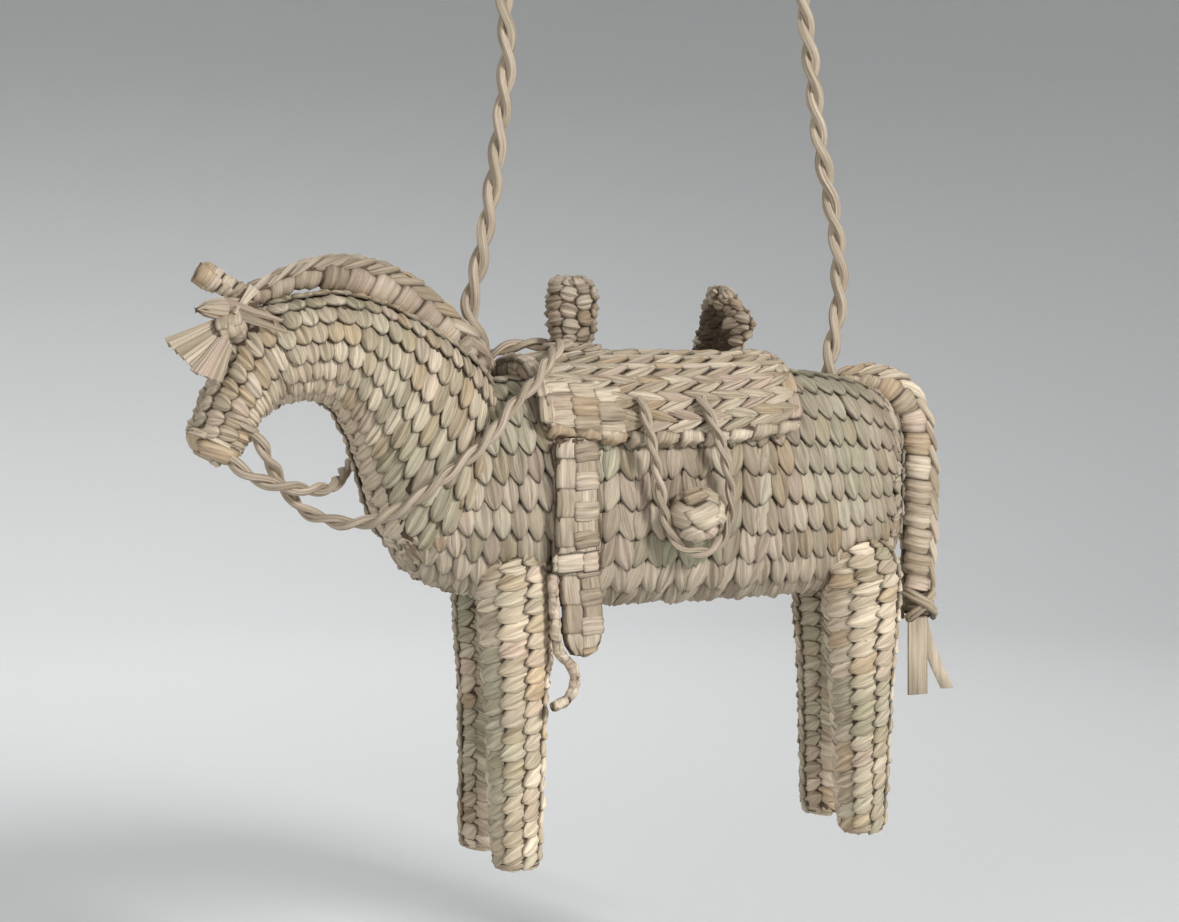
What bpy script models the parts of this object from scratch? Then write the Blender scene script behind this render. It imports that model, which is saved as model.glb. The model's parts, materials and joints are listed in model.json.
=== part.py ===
"""A woven palm-leaf horse bag: a hollow basket body on four woven legs, a saddle that
opens as its lid, a loop and ball that close it, reins, stirrups and a carrying strap.

Metres, +Z up. The horse faces -X and its near (left) side is -Y. Sizes are written in the
horse's own frame: x from the line of the front legs, y from the mid-plane, z from the soles.
"""
import math

import bmesh
import bpy
from mathutils import Vector

# Body basket
BELLY_HEIGHT = 0.106
BODY_HEIGHT = 0.1015
BODY_WIDTH = 0.070
BODY_LENGTH = 0.249
CHEST_REACH = 0.051
BODY_WALL = 0.005
CHEST_POWER = 3.2
RUMP_POWER = 4.5
PLAN_POWER = 3.0
SECTION_POWER = 2.6
GAP = 0.0003

# Bag mouth under the saddle
MOUTH_FRONT = 0.022
MOUTH_LENGTH = 0.088
MOUTH_NEAR = 0.022
MOUTH_FAR = 0.016
MOUTH_POWER = 4

# Legs
LEG_SPACING = 0.168
LEG_TRACK = 0.0424
LEG_OVERLAP = 0.026
FOOT_DIAMETER = 0.0212
FRONT_KNEE_DIAMETER = 0.0255
FRONT_TOP_DIAMETER = 0.033
REAR_KNEE_DIAMETER = 0.0285
REAR_TOP_DIAMETER = 0.035
FAR_LEG_SHARE = 0.84
FAR_FRONT_SHIFT = 0.0025
FAR_REAR_SHIFT = 0.0060
LEG_POWER = 2.2
# Leg stations: share of the height, then shares of the foot, knee and top diameters
LEG_PROFILE_SHARES = (
    (0.0, 1.0, 0.0, 0.0), (0.03, 1.0, 0.0, 0.0), (0.25, 0.5, 0.5, 0.0), (0.50, 0.0, 1.0, 0.0),
    (0.75, 0.0, 0.0, 0.97), (0.88, 0.0, 0.0, 1.0), (0.95, 0.0, 0.0, 0.86), (0.985, 0.0, 0.0, 0.55),
)

# Neck and head ribs: crest x, crest z, throat x, throat z, half width; z from the back line
NECK_RIBS = (
    (-0.0040, -0.0060, -0.0420, -0.0800, 0.0290),
    (-0.0085, 0.0010, -0.0540, -0.0660, 0.0300),
    (-0.0213, 0.0117, -0.0600, -0.0462, 0.0275),
    (-0.0391, 0.0221, -0.0653, -0.0296, 0.0245),
    (-0.0567, 0.0293, -0.0725, -0.0160, 0.0215),
    (-0.0739, 0.0319, -0.0803, -0.0123, 0.0195),
    (-0.0909, 0.0297, -0.0880, -0.0122, 0.0185),
    (-0.1020, 0.0270, -0.0945, -0.0140, 0.0178),
)
HEAD_RIBS = (
    (-0.0960, 0.0265, -0.0905, -0.0110, 0.0160),
    (-0.1080, 0.0250, -0.0965, -0.0145, 0.0172),
    (-0.1145, 0.0150, -0.1005, -0.0170, 0.0168),
    (-0.1205, 0.0030, -0.1045, -0.0205, 0.0152),
    (-0.1275, -0.0125, -0.1075, -0.0260, 0.0130),
    (-0.1325, -0.0250, -0.1130, -0.0355, 0.0118),
)
NECK_POWER = 2.3
HEAD_POWER = 2.8
PLUG_THICKNESS = 0.002
PLUG_SHARE = 0.72
NOSEBAND_RADIUS = 0.0022
NOSEBAND_PLACE = 0.80

# Mane and tail rolls: x, z, radius in the mid-plane; z from the back line, the tail's x from the rump
MANE_ROLL = (
    (-0.1085, 0.0290, 0.0040),
    (-0.1000, 0.0315, 0.0048),
    (-0.0875, 0.0375, 0.0052),
    (-0.0739, 0.0395, 0.0072),
    (-0.0580, 0.0372, 0.0088),
    (-0.0413, 0.0302, 0.0088),
    (-0.0258, 0.0193, 0.0080),
    (-0.0132, 0.0078, 0.0072),
    (-0.0065, -0.0020, 0.0055),
)
MANE_THICKNESS_SHARE = 0.85
TAIL_ROLL = (
    (-0.0240, -0.0055, 0.0070),
    (-0.0100, -0.0055, 0.0082),
    (0.0025, -0.0100, 0.0090),
    (0.0115, -0.0200, 0.0094),
    (0.0145, -0.0355, 0.0095),
    (0.0155, -0.0575, 0.0095),
    (0.0150, -0.0825, 0.0090),
    (0.0145, -0.1035, 0.0074),
)
TAIL_THICKNESS_SHARE = 0.80
TIE_HEIGHT = 0.011
TIE_RADIUS = 0.0070
STRIP_THICKNESS = 0.0016
STRIP_LENGTH = 0.0365
WIDE_STRIP_WIDTH = 0.0110
SIDE_STRIP_WIDTH = 0.0070
SIDE_STRIP_SWING = 0.0150
SIDE_STRIP_SHIFT = 0.0010
SIDE_STRIP_SHARE = 0.96
WIDE_STRIP_SHIFT = -0.0020
SHORT_STRIP_SHIFT = -0.0005
SHORT_STRIP_SWING = 0.0040
SHORT_STRIP_SHARE = 0.80
STRIP_SPACING = 0.0025
STRIP_CURL = 1.3

# Ears and forelock, z from the back line
EAR_RADIUS = 0.0040
EAR_FLATNESS = 0.8
EAR_PROFILE_SHARES = ((0.0, 0.75), (0.35, 1.0), (0.7, 0.9), (0.92, 0.5))
FAR_EAR_ROOT = (-0.1078, 0.0030, 0.0290)
FAR_EAR_TIP = (-0.1285, 0.0060, 0.0385)
NEAR_EAR_ROOT = (-0.1085, -0.0040, 0.0238)
NEAR_EAR_TIP = (-0.1300, -0.0060, 0.0232)
FORELOCK_TIE_POWER = 2.2
FORELOCK_POWER = 3.0
FORELOCK_TIE_RIBS = (
    (-0.1105, 0.0200, -0.1095, 0.0130, 0.0035),
    (-0.1185, 0.0175, -0.1160, 0.0105, 0.0035),
)
FORELOCK_RIBS = (
    (-0.1190, 0.0168, -0.1167, 0.0105, 0.0030),
    (-0.1405, 0.0095, -0.1250, -0.0045, 0.0050),
)

# Saddle: the lid on the near side and top, the skirt on the far side
SADDLE_FRONT = 0.0065
SADDLE_LENGTH = 0.1205
SADDLE_THICKNESS = 0.0060
SADDLE_GAP = 0.0008
FLAP_DROP = 0.0305
FLAP_RISE = 0.0060
HINGE_Y = 0.024
HINGE_CORD_RADIUS = 0.0015
HORN_X = 0.035
HORN_HEIGHT = 0.0325
HORN_WIDTH = 0.0235
HORN_DEPTH = 0.0150
HORN_WAIST = 0.84
HORN_POWER = 2.4
HORN_PROFILE_SHARES = (
    (0.0, HORN_WAIST), (0.3, HORN_WAIST), (0.5, 0.95), (0.8, 1.0), (0.92, 0.9), (0.98, 0.6),
)
CANTLE_X = 0.110
CANTLE_HEIGHT = 0.0300
CANTLE_WIDTH = 0.0440
CANTLE_THICKNESS = 0.0085
CANTLE_TURN = 0.30
CANTLE_POWER = 2.6
# Cantle stations: share of the height, then near and far shares of the half width
CANTLE_OUTLINE_SHARES = (
    (0.00, 0.45, 0.93), (0.25, 0.46, 0.95), (0.38, 0.62, 0.94), (0.50, 0.84, 0.88), (0.62, 0.76, 0.76),
    (0.74, 0.52, 0.65), (0.86, 0.26, 0.52), (0.95, 0.06, 0.32), (1.00, -0.04, 0.16),
)
REIN_KNOT_RADIUS = 0.0019

# Loop and ball that close the lid
BALL_X = 0.0730
BALL_Z = 0.1460
BALL_WIDTH = 0.0250
BALL_HEIGHT = 0.0230
BALL_DEPTH = 0.0180
BALL_TIE_RADIUS = 0.0016
BALL_KNOT_RADIUS = 0.0040
BALL_KNOT_LENGTH = 0.0060
BALL_RINGS = 9
LOOP_RADIUS = 0.0024
LOOP_ROUTE = (
    (0.0490, -0.0384, 0.1952), (0.0500, -0.0426, 0.1863), (0.0517, -0.0446, 0.1775),
    (0.0552, -0.0436, 0.1660), (0.0572, -0.0428, 0.1560), (0.0574, -0.0424, 0.1455),
    (0.0595, -0.0420, 0.1350), (0.0655, -0.0416, 0.1270), (0.0735, -0.0414, 0.1242),
    (0.0815, -0.0416, 0.1270), (0.0882, -0.0420, 0.1350), (0.0898, -0.0424, 0.1455),
    (0.0895, -0.0428, 0.1560), (0.0870, -0.0436, 0.1660), (0.0825, -0.0446, 0.1775),
    (0.0795, -0.0426, 0.1863), (0.0775, -0.0384, 0.1952),
)

# Stirrups
FENDER_X = 0.0186
FENDER_WIDTH = 0.0185
FENDER_LENGTH = 0.0885
FENDER_THICKNESS = 0.0040
FENDER_STANDOFF = 0.0008
FENDER_EDGE_GAP = 0.0007
BAND_DROP = 0.0535
BAND_HEIGHT = 0.0085
BAND_THICKNESS = 0.0020
BAND_OVERHANG = 0.0022
STIRRUP_RADIUS = 0.0018
STIRRUP_OFFSET = 0.0012
# Stirrup route, from the fender's front edge and from the band's lower edge
STIRRUP_ROUTE = (
    (0.0000, -0.0003), (-0.0003, -0.0150), (0.0002, -0.0310), (0.0012, -0.0420),
    (0.0042, -0.0500), (0.0092, -0.0510), (0.0124, -0.0450), (0.0110, -0.0380),
    (0.0052, -0.0362),
)

# Reins and strap: hand-chosen routes
REIN_RADIUS = 0.0029
NEAR_REIN_ROUTE = (
    (-0.1060, -0.0119, 0.1766), (-0.1004, -0.0065, 0.1688), (-0.0948, -0.0025, 0.1610),
    (-0.0904, -0.0012, 0.1551), (-0.0861, -0.0035, 0.1499), (-0.0793, -0.0100, 0.1464),
    (-0.0706, -0.0180, 0.1447), (-0.0613, -0.0255, 0.1469), (-0.0529, -0.0315, 0.1522),
    (-0.0438, -0.0358, 0.1590), (-0.0327, -0.0384, 0.1681), (-0.0228, -0.0396, 0.1761),
    (-0.0149, -0.0392, 0.1844), (-0.0081, -0.0378, 0.1922), (-0.0007, -0.0352, 0.1986),
    (0.0042, -0.0331, 0.2023),
)
NEAR_REIN_END_ROUTE = (
    (0.0046, -0.0329, 0.2027), (0.0110, -0.0288, 0.2092), (0.0165, -0.0230, 0.2136),
    (0.0215, -0.0165, 0.2164), (0.0245, -0.0122, 0.2173),
)
FAR_REIN_ROUTE = (
    (-0.1172, -0.0080, 0.1706), (-0.1127, -0.0105, 0.1660), (-0.1060, -0.0115, 0.1625),
    (-0.0977, -0.0115, 0.1603), (-0.0888, -0.0095, 0.1588), (-0.0790, -0.0040, 0.1582),
    (-0.0705, 0.0040, 0.1595), (-0.0640, 0.0140, 0.1625), (-0.0570, 0.0260, 0.1660),
    (-0.0460, 0.0335, 0.1715), (-0.0330, 0.0355, 0.1785), (-0.0220, 0.0335, 0.1890),
    (-0.0140, 0.0290, 0.2000), (-0.0070, 0.0240, 0.2065), (-0.0010, 0.0205, 0.2105),
    (0.0050, 0.0186, 0.2132),
)
FAR_REIN_END_ROUTE = (
    (0.0061, 0.0184, 0.2141), (0.0120, 0.0150, 0.2165), (0.0185, 0.0105, 0.2178),
)
STRAP_RADIUS = 0.0040
STRAP_ROUTE = (
    (0.0005, 0.0105, 0.1940), (0.0005, 0.0105, 0.2015), (0.0003, 0.0105, 0.2090),
    (-0.0035, 0.0105, 0.2190),
    (-0.0080, 0.0105, 0.2336), (-0.0034, 0.0102, 0.2541), (-0.0004, 0.0095, 0.2704),
    (0.0020, 0.0075, 0.2882), (0.0048, 0.0040, 0.3210), (0.0056, 0.0010, 0.3427),
    (0.0034, 0.0000, 0.3640), (0.0042, 0.0000, 0.3870), (0.0112, 0.0000, 0.4125),
    (0.0272, 0.0000, 0.4345), (0.0500, 0.0000, 0.4475), (0.0765, 0.0000, 0.4520),
    (0.1030, 0.0000, 0.4475), (0.1255, 0.0000, 0.4345), (0.1410, 0.0000, 0.4130),
    (0.1482, 0.0000, 0.3900), (0.1512, 0.0000, 0.3690), (0.1545, 0.0000, 0.3470),
    (0.1592, 0.0000, 0.3113), (0.1650, 0.0000, 0.2842), (0.1690, 0.0000, 0.2614),
    (0.1695, 0.0000, 0.2386), (0.1658, 0.0000, 0.2180), (0.1641, 0.0000, 0.2090),
    (0.1640, 0.0000, 0.2020), (0.1640, 0.0000, 0.1950),
)
STRAP_CLEARANCE = 0.0006
STRAP_KNOT_RADIUS = 0.0065
STRAP_KNOT_HEIGHT = 0.0090
STRAP_KNOT_PROFILE_SHARES = ((0.0, 0.6), (0.2, 0.9), (0.5, 1.0), (0.8, 0.9), (1.0, 0.6))

# Mesh density
BODY_RINGS = 22
BODY_SIDES = 28
RIB_STEPS = 3
RIB_SIDES = 18
ROLL_STEPS = 3
ROLL_SIDES = 10
LEG_SIDES = 16
CAVITY_RINGS = 16
CAVITY_SIDES = 20
ROUND_SIDES = 12
FINE_SIDES = 18
STRIP_SIDES = 8
SHEET_STEPS_X = 12
SHEET_STEPS_ROUND = 9

# Worked out from the sizes above
BACK_Z = BELLY_HEIGHT + BODY_HEIGHT
BODY_X = BODY_LENGTH / 2 - CHEST_REACH
RUMP_X = BODY_LENGTH - CHEST_REACH
BODY_Z = BELLY_HEIGHT + BODY_HEIGHT / 2
SADDLE_OUTER = SADDLE_GAP + SADDLE_THICKNESS
FENDER_Y = BODY_WIDTH / 2 + FENDER_STANDOFF + FENDER_THICKNESS / 2

LEAF_ROUGHNESS = 0.68
FLAT_POWER = 5
STRAW = (0.66, 0.55, 0.38)
PALE_STRAW = (0.74, 0.66, 0.50)
GREEN_STRAW = (0.56, 0.54, 0.36)
DARK_STRAW = (0.48, 0.38, 0.25)


def clear_scene():
    """Remove whatever the open file holds."""
    for obj in list(bpy.data.objects):
        bpy.data.objects.remove(obj, do_unlink=True)


def straw(name, colour):
    """A matte leaf material in one colour."""
    material = bpy.data.materials.new(name)
    material.use_nodes = True
    shader = material.node_tree.nodes["Principled BSDF"]
    shader.inputs["Base Color"].default_value = (*colour, 1.0)
    shader.inputs["Roughness"].default_value = LEAF_ROUGHNESS
    shader.inputs["Metallic"].default_value = 0.0
    return material


def add_empty(name, place, parent=None):
    """An empty at a place in the horse's frame."""
    empty = bpy.data.objects.new(name, None)
    empty.empty_display_size = 0.01
    bpy.context.scene.collection.objects.link(empty)
    empty.parent = parent
    empty["place"] = list(place)
    offset = Vector(parent["place"]) if parent else Vector((0, 0, 0))
    empty.location = Vector(place) - offset
    return empty


def attach(obj, parent, colour):
    """Parent a piece to an empty without moving it, and give it its material."""
    obj.parent = parent
    obj.location = -Vector(parent["place"])
    obj.data.materials.append(straw(obj.name, colour))
    return obj


def mesh_object(name, points, faces):
    """A mesh object with outward faces, shaded smooth."""
    mesh = bpy.data.meshes.new(name)
    mesh.from_pydata([tuple(p) for p in points], [], faces)
    work = bmesh.new()
    work.from_mesh(mesh)
    bmesh.ops.recalc_face_normals(work, faces=work.faces)
    work.to_mesh(mesh)
    work.free()
    mesh.shade_smooth()
    mesh.set_sharp_from_angle(angle=math.radians(50))
    obj = bpy.data.objects.new(name, mesh)
    bpy.context.scene.collection.objects.link(obj)
    return obj


def loft(name, rings, start=None, end=None):
    """Join closed rings of points, with a pole or a flat cap at each end."""
    sides = len(rings[0])
    points = [p for ring in rings for p in ring]
    faces = []
    for i in range(len(rings) - 1):
        for j in range(sides):
            k = (j + 1) % sides
            faces.append((i * sides + j, i * sides + k, (i + 1) * sides + k, (i + 1) * sides + j))
    last = (len(rings) - 1) * sides
    for pole, first, order in ((start, 0, 1), (end, last, -1)):
        corners = [first + j for j in range(sides)]
        if pole is None:
            faces.append(tuple(corners[::-order]))
        else:
            points.append(pole)
            tip = len(points) - 1
            faces.extend((corners[j], tip, corners[(j + 1) % sides]) for j in range(sides))
    return mesh_object(name, points, faces)


def closed_loft(name, rings):
    """Join closed rings of points into a ring-shaped solid."""
    count, sides = len(rings), len(rings[0])
    points = [p for ring in rings for p in ring]
    faces = []
    for i in range(count):
        n = (i + 1) % count
        for j in range(sides):
            k = (j + 1) % sides
            faces.append((i * sides + j, i * sides + k, n * sides + k, n * sides + j))
    return mesh_object(name, points, faces)


def super_round(angle, power):
    """A point on the unit superellipse."""
    c, s = math.cos(angle), math.sin(angle)
    share = 2 / power
    return math.copysign(abs(c) ** share, c), math.copysign(abs(s) ** share, s)


def oval(centre, across, along, power, sides):
    """A superellipse ring about a centre, with two half-axis vectors."""
    ring = []
    for j in range(sides):
        c, s = super_round(2 * math.pi * j / sides, power)
        ring.append(centre + across * c + along * s)
    return ring


def smooth_points(rows, steps):
    """Rows of numbers on a smooth curve through the given rows."""
    rows = [tuple(r) for r in rows]
    padded = [tuple(2 * a - b for a, b in zip(rows[0], rows[1]))] + rows
    padded.append(tuple(2 * a - b for a, b in zip(rows[-1], rows[-2])))
    result = []
    for i in range(1, len(padded) - 2):
        p0, p1, p2, p3 = padded[i - 1:i + 3]
        for step in range(steps):
            t = step / steps
            result.append(tuple(
                0.5 * (2 * b + (c - a) * t + (2 * a - 5 * b + 4 * c - d) * t ** 2
                       + (3 * b - a - 3 * c + d) * t ** 3)
                for a, b, c, d in zip(p0, p1, p2, p3)))
    result.append(rows[-1])
    return result


def cut(obj, *cutters):
    """Take cutters away from a piece."""
    for cutter in cutters:
        modifier = obj.modifiers.new("cut by " + cutter.name, "BOOLEAN")
        modifier.operation = "DIFFERENCE"
        modifier.object = cutter
    return obj


def as_cutter(obj, horse):
    """Mark a guide shape that only cuts other pieces."""
    obj.parent = horse
    obj.hide_render = True
    obj.display_type = "WIRE"
    return obj


def body_half_height(x, grow=0.0):
    """Half the basket's height at a station."""
    t = min(abs(x - BODY_X) / (BODY_LENGTH / 2 + grow), 1.0)
    power = CHEST_POWER if x < BODY_X else RUMP_POWER
    return (BODY_HEIGHT / 2 + grow) * (1 - t ** power) ** (1 / power)


def body_half_width(x, grow=0.0):
    """Half the basket's width at a station."""
    t = min(abs(x - BODY_X) / (BODY_LENGTH / 2 + grow), 1.0)
    return (BODY_WIDTH / 2 + grow) * (1 - t ** PLAN_POWER) ** (1 / PLAN_POWER)


def barrel(name, grow=0.0, rings=BODY_RINGS, sides=BODY_SIDES):
    """The basket's outer shape, made larger or smaller all round."""
    half = BODY_LENGTH / 2 + grow
    stack = []
    for i in range(1, rings):
        x = BODY_X - half * math.cos(math.pi * i / rings)
        centre = Vector((x, 0, BODY_Z))
        across = Vector((0, body_half_width(x, grow), 0))
        along = Vector((0, 0, body_half_height(x, grow)))
        stack.append(oval(centre, across, along, SECTION_POWER, sides))
    return loft(name, stack, Vector((BODY_X - half, 0, BODY_Z)), Vector((BODY_X + half, 0, BODY_Z)))


def upright_cylinder(name, x, y, bottom, top, radius):
    """A plain upright cylinder."""
    rings = [oval(Vector((x, y, z)), Vector((radius, 0, 0)), Vector((0, radius, 0)), 2, ROUND_SIDES)
             for z in (bottom, top)]
    return loft(name, rings)


def mouth_cutter():
    """The slot that opens the basket's back under the saddle."""
    length = Vector((MOUTH_LENGTH / 2, 0, 0))
    width = Vector((0, (MOUTH_NEAR + MOUTH_FAR) / 2, 0))
    middle = Vector((MOUTH_FRONT + MOUTH_LENGTH / 2, (MOUTH_FAR - MOUTH_NEAR) / 2, 0))
    rings = [oval(middle + Vector((0, 0, z)), length, width, MOUTH_POWER, CAVITY_SIDES)
             for z in (BACK_Z - 3 * BODY_WALL, BACK_Z + BODY_WALL)]
    return loft("mouth_cutter", rings)


def rib_rings(ribs, power, grow=0.0):
    """Rings of a neck or head along its ribs."""
    rings = []
    for cx, cz, tx, tz, half_width in smooth_points(ribs, RIB_STEPS):
        crest, throat = Vector((cx, 0, BACK_Z + cz)), Vector((tx, 0, BACK_Z + tz))
        centre = (crest + throat) / 2
        along = (crest - throat) / 2
        along *= 1 + grow / along.length
        rings.append(oval(centre, Vector((0, half_width + grow, 0)), along, power, RIB_SIDES))
    return rings


def ring_centre(ring):
    """The mean of a ring's points."""
    return sum(ring, Vector()) / len(ring)


def rib_loft(name, ribs, power, grow=0.0):
    """A neck or head along its ribs, grown all round and past both ends."""
    rings = rib_rings(ribs, power, grow)
    if grow:
        for end, inner in ((0, 1), (-1, -2)):
            step = (ring_centre(rings[end]) - ring_centre(rings[inner])).normalized() * grow
            outer = [p + step for p in rings[end]]
            rings.insert(0 if end == 0 else len(rings), outer)
    return loft(name, rings)


def roll(name, rows, thickness_share, root_x=0.0, grow=0.0):
    """A padded roll in the mid-plane, such as the mane, grown all round and past both ends."""
    path = smooth_points(rows, ROLL_STEPS)
    centres = [Vector((root_x + x, 0, BACK_Z + z)) for x, z, _ in path]
    last = len(path) - 1
    rings = []
    for i, (_, _, radius) in enumerate(path):
        run = (centres[min(i + 1, last)] - centres[max(i - 1, 0)]).normalized()
        past_end = {0: -grow, last: grow}.get(i, 0.0)
        up = Vector((-run.z, 0, run.x)) * (radius + grow)
        side = Vector((0, radius * thickness_share + grow, 0))
        rings.append(oval(centres[i] + run * past_end, side, up, 2, ROLL_SIDES))
    return loft(name, rings)


def leg(name, x, y, knee, top):
    """A woven leg that swells from a flat sole to a domed top beside the basket."""
    height = BELLY_HEIGHT + LEG_OVERLAP
    rings = []
    for share, of_foot, of_knee, of_top in LEG_PROFILE_SHARES:
        radius = (of_foot * FOOT_DIAMETER + of_knee * knee + of_top * top) / 2
        across = Vector((radius, 0, 0))
        along = Vector((0, radius, 0))
        rings.append(oval(Vector((x, y, share * height)), across, along, LEG_POWER, LEG_SIDES))
    return loft(name, rings, end=Vector((x, y, height)))


def cord(name, route, radius, steps=2, smoothness=2):
    """A cord along a smooth curve through its route, as a bevelled curve with closed ends."""
    path = smooth_points(route, steps)
    curve = bpy.data.curves.new(name, "CURVE")
    curve.dimensions = "3D"
    curve.bevel_depth = radius
    curve.bevel_resolution = smoothness
    curve.render_resolution_u = 0
    curve.use_fill_caps = True
    spline = curve.splines.new("POLY")
    spline.points.add(len(path) - 1)
    for point, place in zip(spline.points, path):
        point.co = (*place, 1.0)
    obj = bpy.data.objects.new(name, curve)
    bpy.context.scene.collection.objects.link(obj)
    return obj


def saddle_point(x, angle, grow):
    """A point on the basket's section at x, grown by the saddle's gap and thickness."""
    c, s = super_round(angle, SECTION_POWER)
    return Vector((x, s * body_half_width(x, grow), BODY_Z + c * body_half_height(x, grow)))


def angle_at_height(x, z, grow):
    """The section angle from the top at which the grown basket reaches a height."""
    share = min(max((z - BODY_Z) / body_half_height(x, grow), -1.0), 1.0)
    return math.acos(math.copysign(abs(share) ** (SECTION_POWER / 2), share))


def angle_at_width(x, y, grow):
    """The section angle from the top at which the grown basket reaches a width."""
    share = y / body_half_width(x, grow)
    return math.asin(math.copysign(abs(share) ** (SECTION_POWER / 2), share))


def flap_edge(x):
    """Height of the saddle's lower edge, which hangs lowest at its middle."""
    middle = SADDLE_FRONT + SADDLE_LENGTH / 2
    return BACK_Z - FLAP_DROP + FLAP_RISE * ((x - middle) / (SADDLE_LENGTH / 2)) ** 2


def saddle_sheet(name, from_angle, to_angle, inner, outer, steps=SHEET_STEPS_ROUND, margin=0.0):
    """A bent sheet over the basket between two edges given as angles at each station."""
    rows = []
    for i in range(SHEET_STEPS_X + 1):
        x = SADDLE_FRONT - margin + (SADDLE_LENGTH + 2 * margin) * i / SHEET_STEPS_X
        loop = []
        for grow, order in ((outer, 1), (inner, -1)):
            first, last = from_angle(x, grow), to_angle(x, grow)
            side = [saddle_point(x, first + (last - first) * j / steps, grow)
                    for j in range(steps + 1)]
            loop.extend(side[::order])
        rows.append(loop)
    return loft(name, rows)


def near_edge(x, grow):
    """The lid's lower edge on the near side."""
    return -angle_at_height(x, flap_edge(x), grow)


def far_edge(x, grow):
    """The skirt's lower edge on the far side."""
    return angle_at_height(x, flap_edge(x), grow)


def hinge_edge(side):
    """The lid's or the skirt's edge beside the hinge cord."""
    reach = HINGE_CORD_RADIUS + SADDLE_GAP

    def edge(x, grow):
        return angle_at_width(x, HINGE_Y + side * reach, grow)

    return edge


def hinge_height():
    """Height of the hinge cord, on the saddle's outer face."""
    angle = angle_at_width(BODY_X, HINGE_Y, SADDLE_OUTER)
    return saddle_point(BODY_X, angle, SADDLE_OUTER).z


def horn():
    """The saddle horn: a flattened post with a waist and a rounded top."""
    height = SADDLE_OUTER + HORN_HEIGHT
    rings = []
    for share, size in HORN_PROFILE_SHARES:
        z = BACK_Z + height * share
        across = Vector((HORN_WIDTH / 2 * size, 0, 0))
        along = Vector((0, HORN_DEPTH / 2 * size, 0))
        rings.append(oval(Vector((HORN_X, 0, z)), across, along, HORN_POWER, FINE_SIDES))
    return loft("saddle_horn", rings, end=Vector((HORN_X, 0, BACK_Z + height)))


def cantle():
    """The raised back of the seat: a shield set across the saddle that narrows to a point."""
    foot = BACK_Z - BODY_WALL / 2
    top = BACK_Z + SADDLE_OUTER + CANTLE_HEIGHT
    across = Vector((-CANTLE_TURN, 1, 0)) * CANTLE_WIDTH / 2
    along = Vector((CANTLE_THICKNESS / 2, 0, 0))
    rings = []
    for share, near, far in CANTLE_OUTLINE_SHARES:
        middle = Vector((CANTLE_X, 0, foot + (top - foot) * share)) + across * (far - near) / 2
        rings.append(oval(middle, across * (far + near) / 2, along, CANTLE_POWER, FINE_SIDES))
    return loft("saddle_cantle", rings)


def fender_top():
    """Height of the stirrup fenders' hinge, just under the saddle's lower edge."""
    lowest = flap_edge(FENDER_X + FENDER_WIDTH / 2)
    return lowest - FENDER_EDGE_GAP - FENDER_THICKNESS / 2


def fender(name, side):
    """A flat stirrup strap with a rounded top on its hinge and a rounded lower end."""
    hinge = fender_top()
    centre_y = side * FENDER_Y
    rings = []
    top = FENDER_THICKNESS / 2
    for angle in (80, 50, 20):
        z = hinge + top * math.sin(math.radians(angle))
        rings.append((z, FENDER_WIDTH / 2, top * math.cos(math.radians(angle))))
    rings.append((hinge - FENDER_LENGTH * 0.5, FENDER_WIDTH / 2, top))
    for angle in (0, 30, 55, 75):
        z = hinge - FENDER_LENGTH + FENDER_WIDTH / 2 * (1 - math.sin(math.radians(angle)))
        rings.append((z, FENDER_WIDTH / 2 * math.cos(math.radians(angle)), top))
    stack = []
    for z, across, along in rings:
        centre = Vector((FENDER_X, centre_y, z))
        stack.append(oval(centre, Vector((across, 0, 0)), Vector((0, along, 0)), FLAT_POWER, FINE_SIDES))
    return loft(name, stack)


def fender_band(name, side):
    """The wrap across the outer face of a fender."""
    inner = FENDER_Y + FENDER_THICKNESS / 2 + GAP
    middle = side * (inner + BAND_THICKNESS / 2)
    top = fender_top() - BAND_DROP + BAND_HEIGHT
    wide = Vector((FENDER_WIDTH / 2 + BAND_OVERHANG, 0, 0))
    deep = Vector((0, BAND_THICKNESS / 2, 0))
    rings = [oval(Vector((FENDER_X, middle, z)), wide, deep, FLAT_POWER, ROUND_SIDES)
             for z in (top - BAND_HEIGHT, top)]
    return loft(name, rings)


def stirrup(name, side):
    """The stirrup loop, a cord that hangs from the band beside the fender's front edge."""
    x0 = FENDER_X - FENDER_WIDTH / 2 - STIRRUP_RADIUS - GAP
    z0 = fender_top() - BAND_DROP
    y = side * (FENDER_Y + STIRRUP_OFFSET)
    route = [(x0 + x, y, z0 + z) for x, z in STIRRUP_ROUTE]
    return cord(name, route, STIRRUP_RADIUS)


def noseband(head_cutter):
    """The cord ring round the muzzle that holds the reins."""
    rings = rib_rings(HEAD_RIBS, HEAD_POWER, NOSEBAND_RADIUS)
    index = int(NOSEBAND_PLACE * (len(rings) - 1))
    ring = rings[index]
    centre = ring_centre(ring)
    axis = (ring_centre(rings[index + 1]) - ring_centre(rings[index - 1])).normalized()
    circles = []
    for point in ring:
        out = (point - centre).normalized()
        circles.append(oval(point, out * NOSEBAND_RADIUS, axis * NOSEBAND_RADIUS, 2, 8))
    return cut(closed_loft("noseband", circles), head_cutter)


def muzzle_plug():
    """The folded strip that closes the flat end of the muzzle."""
    rings = rib_rings(HEAD_RIBS, HEAD_POWER)
    centre = ring_centre(rings[-1])
    step = (centre - ring_centre(rings[-2])).normalized()
    face = [centre + (p - centre) * PLUG_SHARE for p in rings[-1]]
    return loft("muzzle_plug", [[p + step * d for p in face] for d in (GAP, GAP + PLUG_THICKNESS)])


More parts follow.
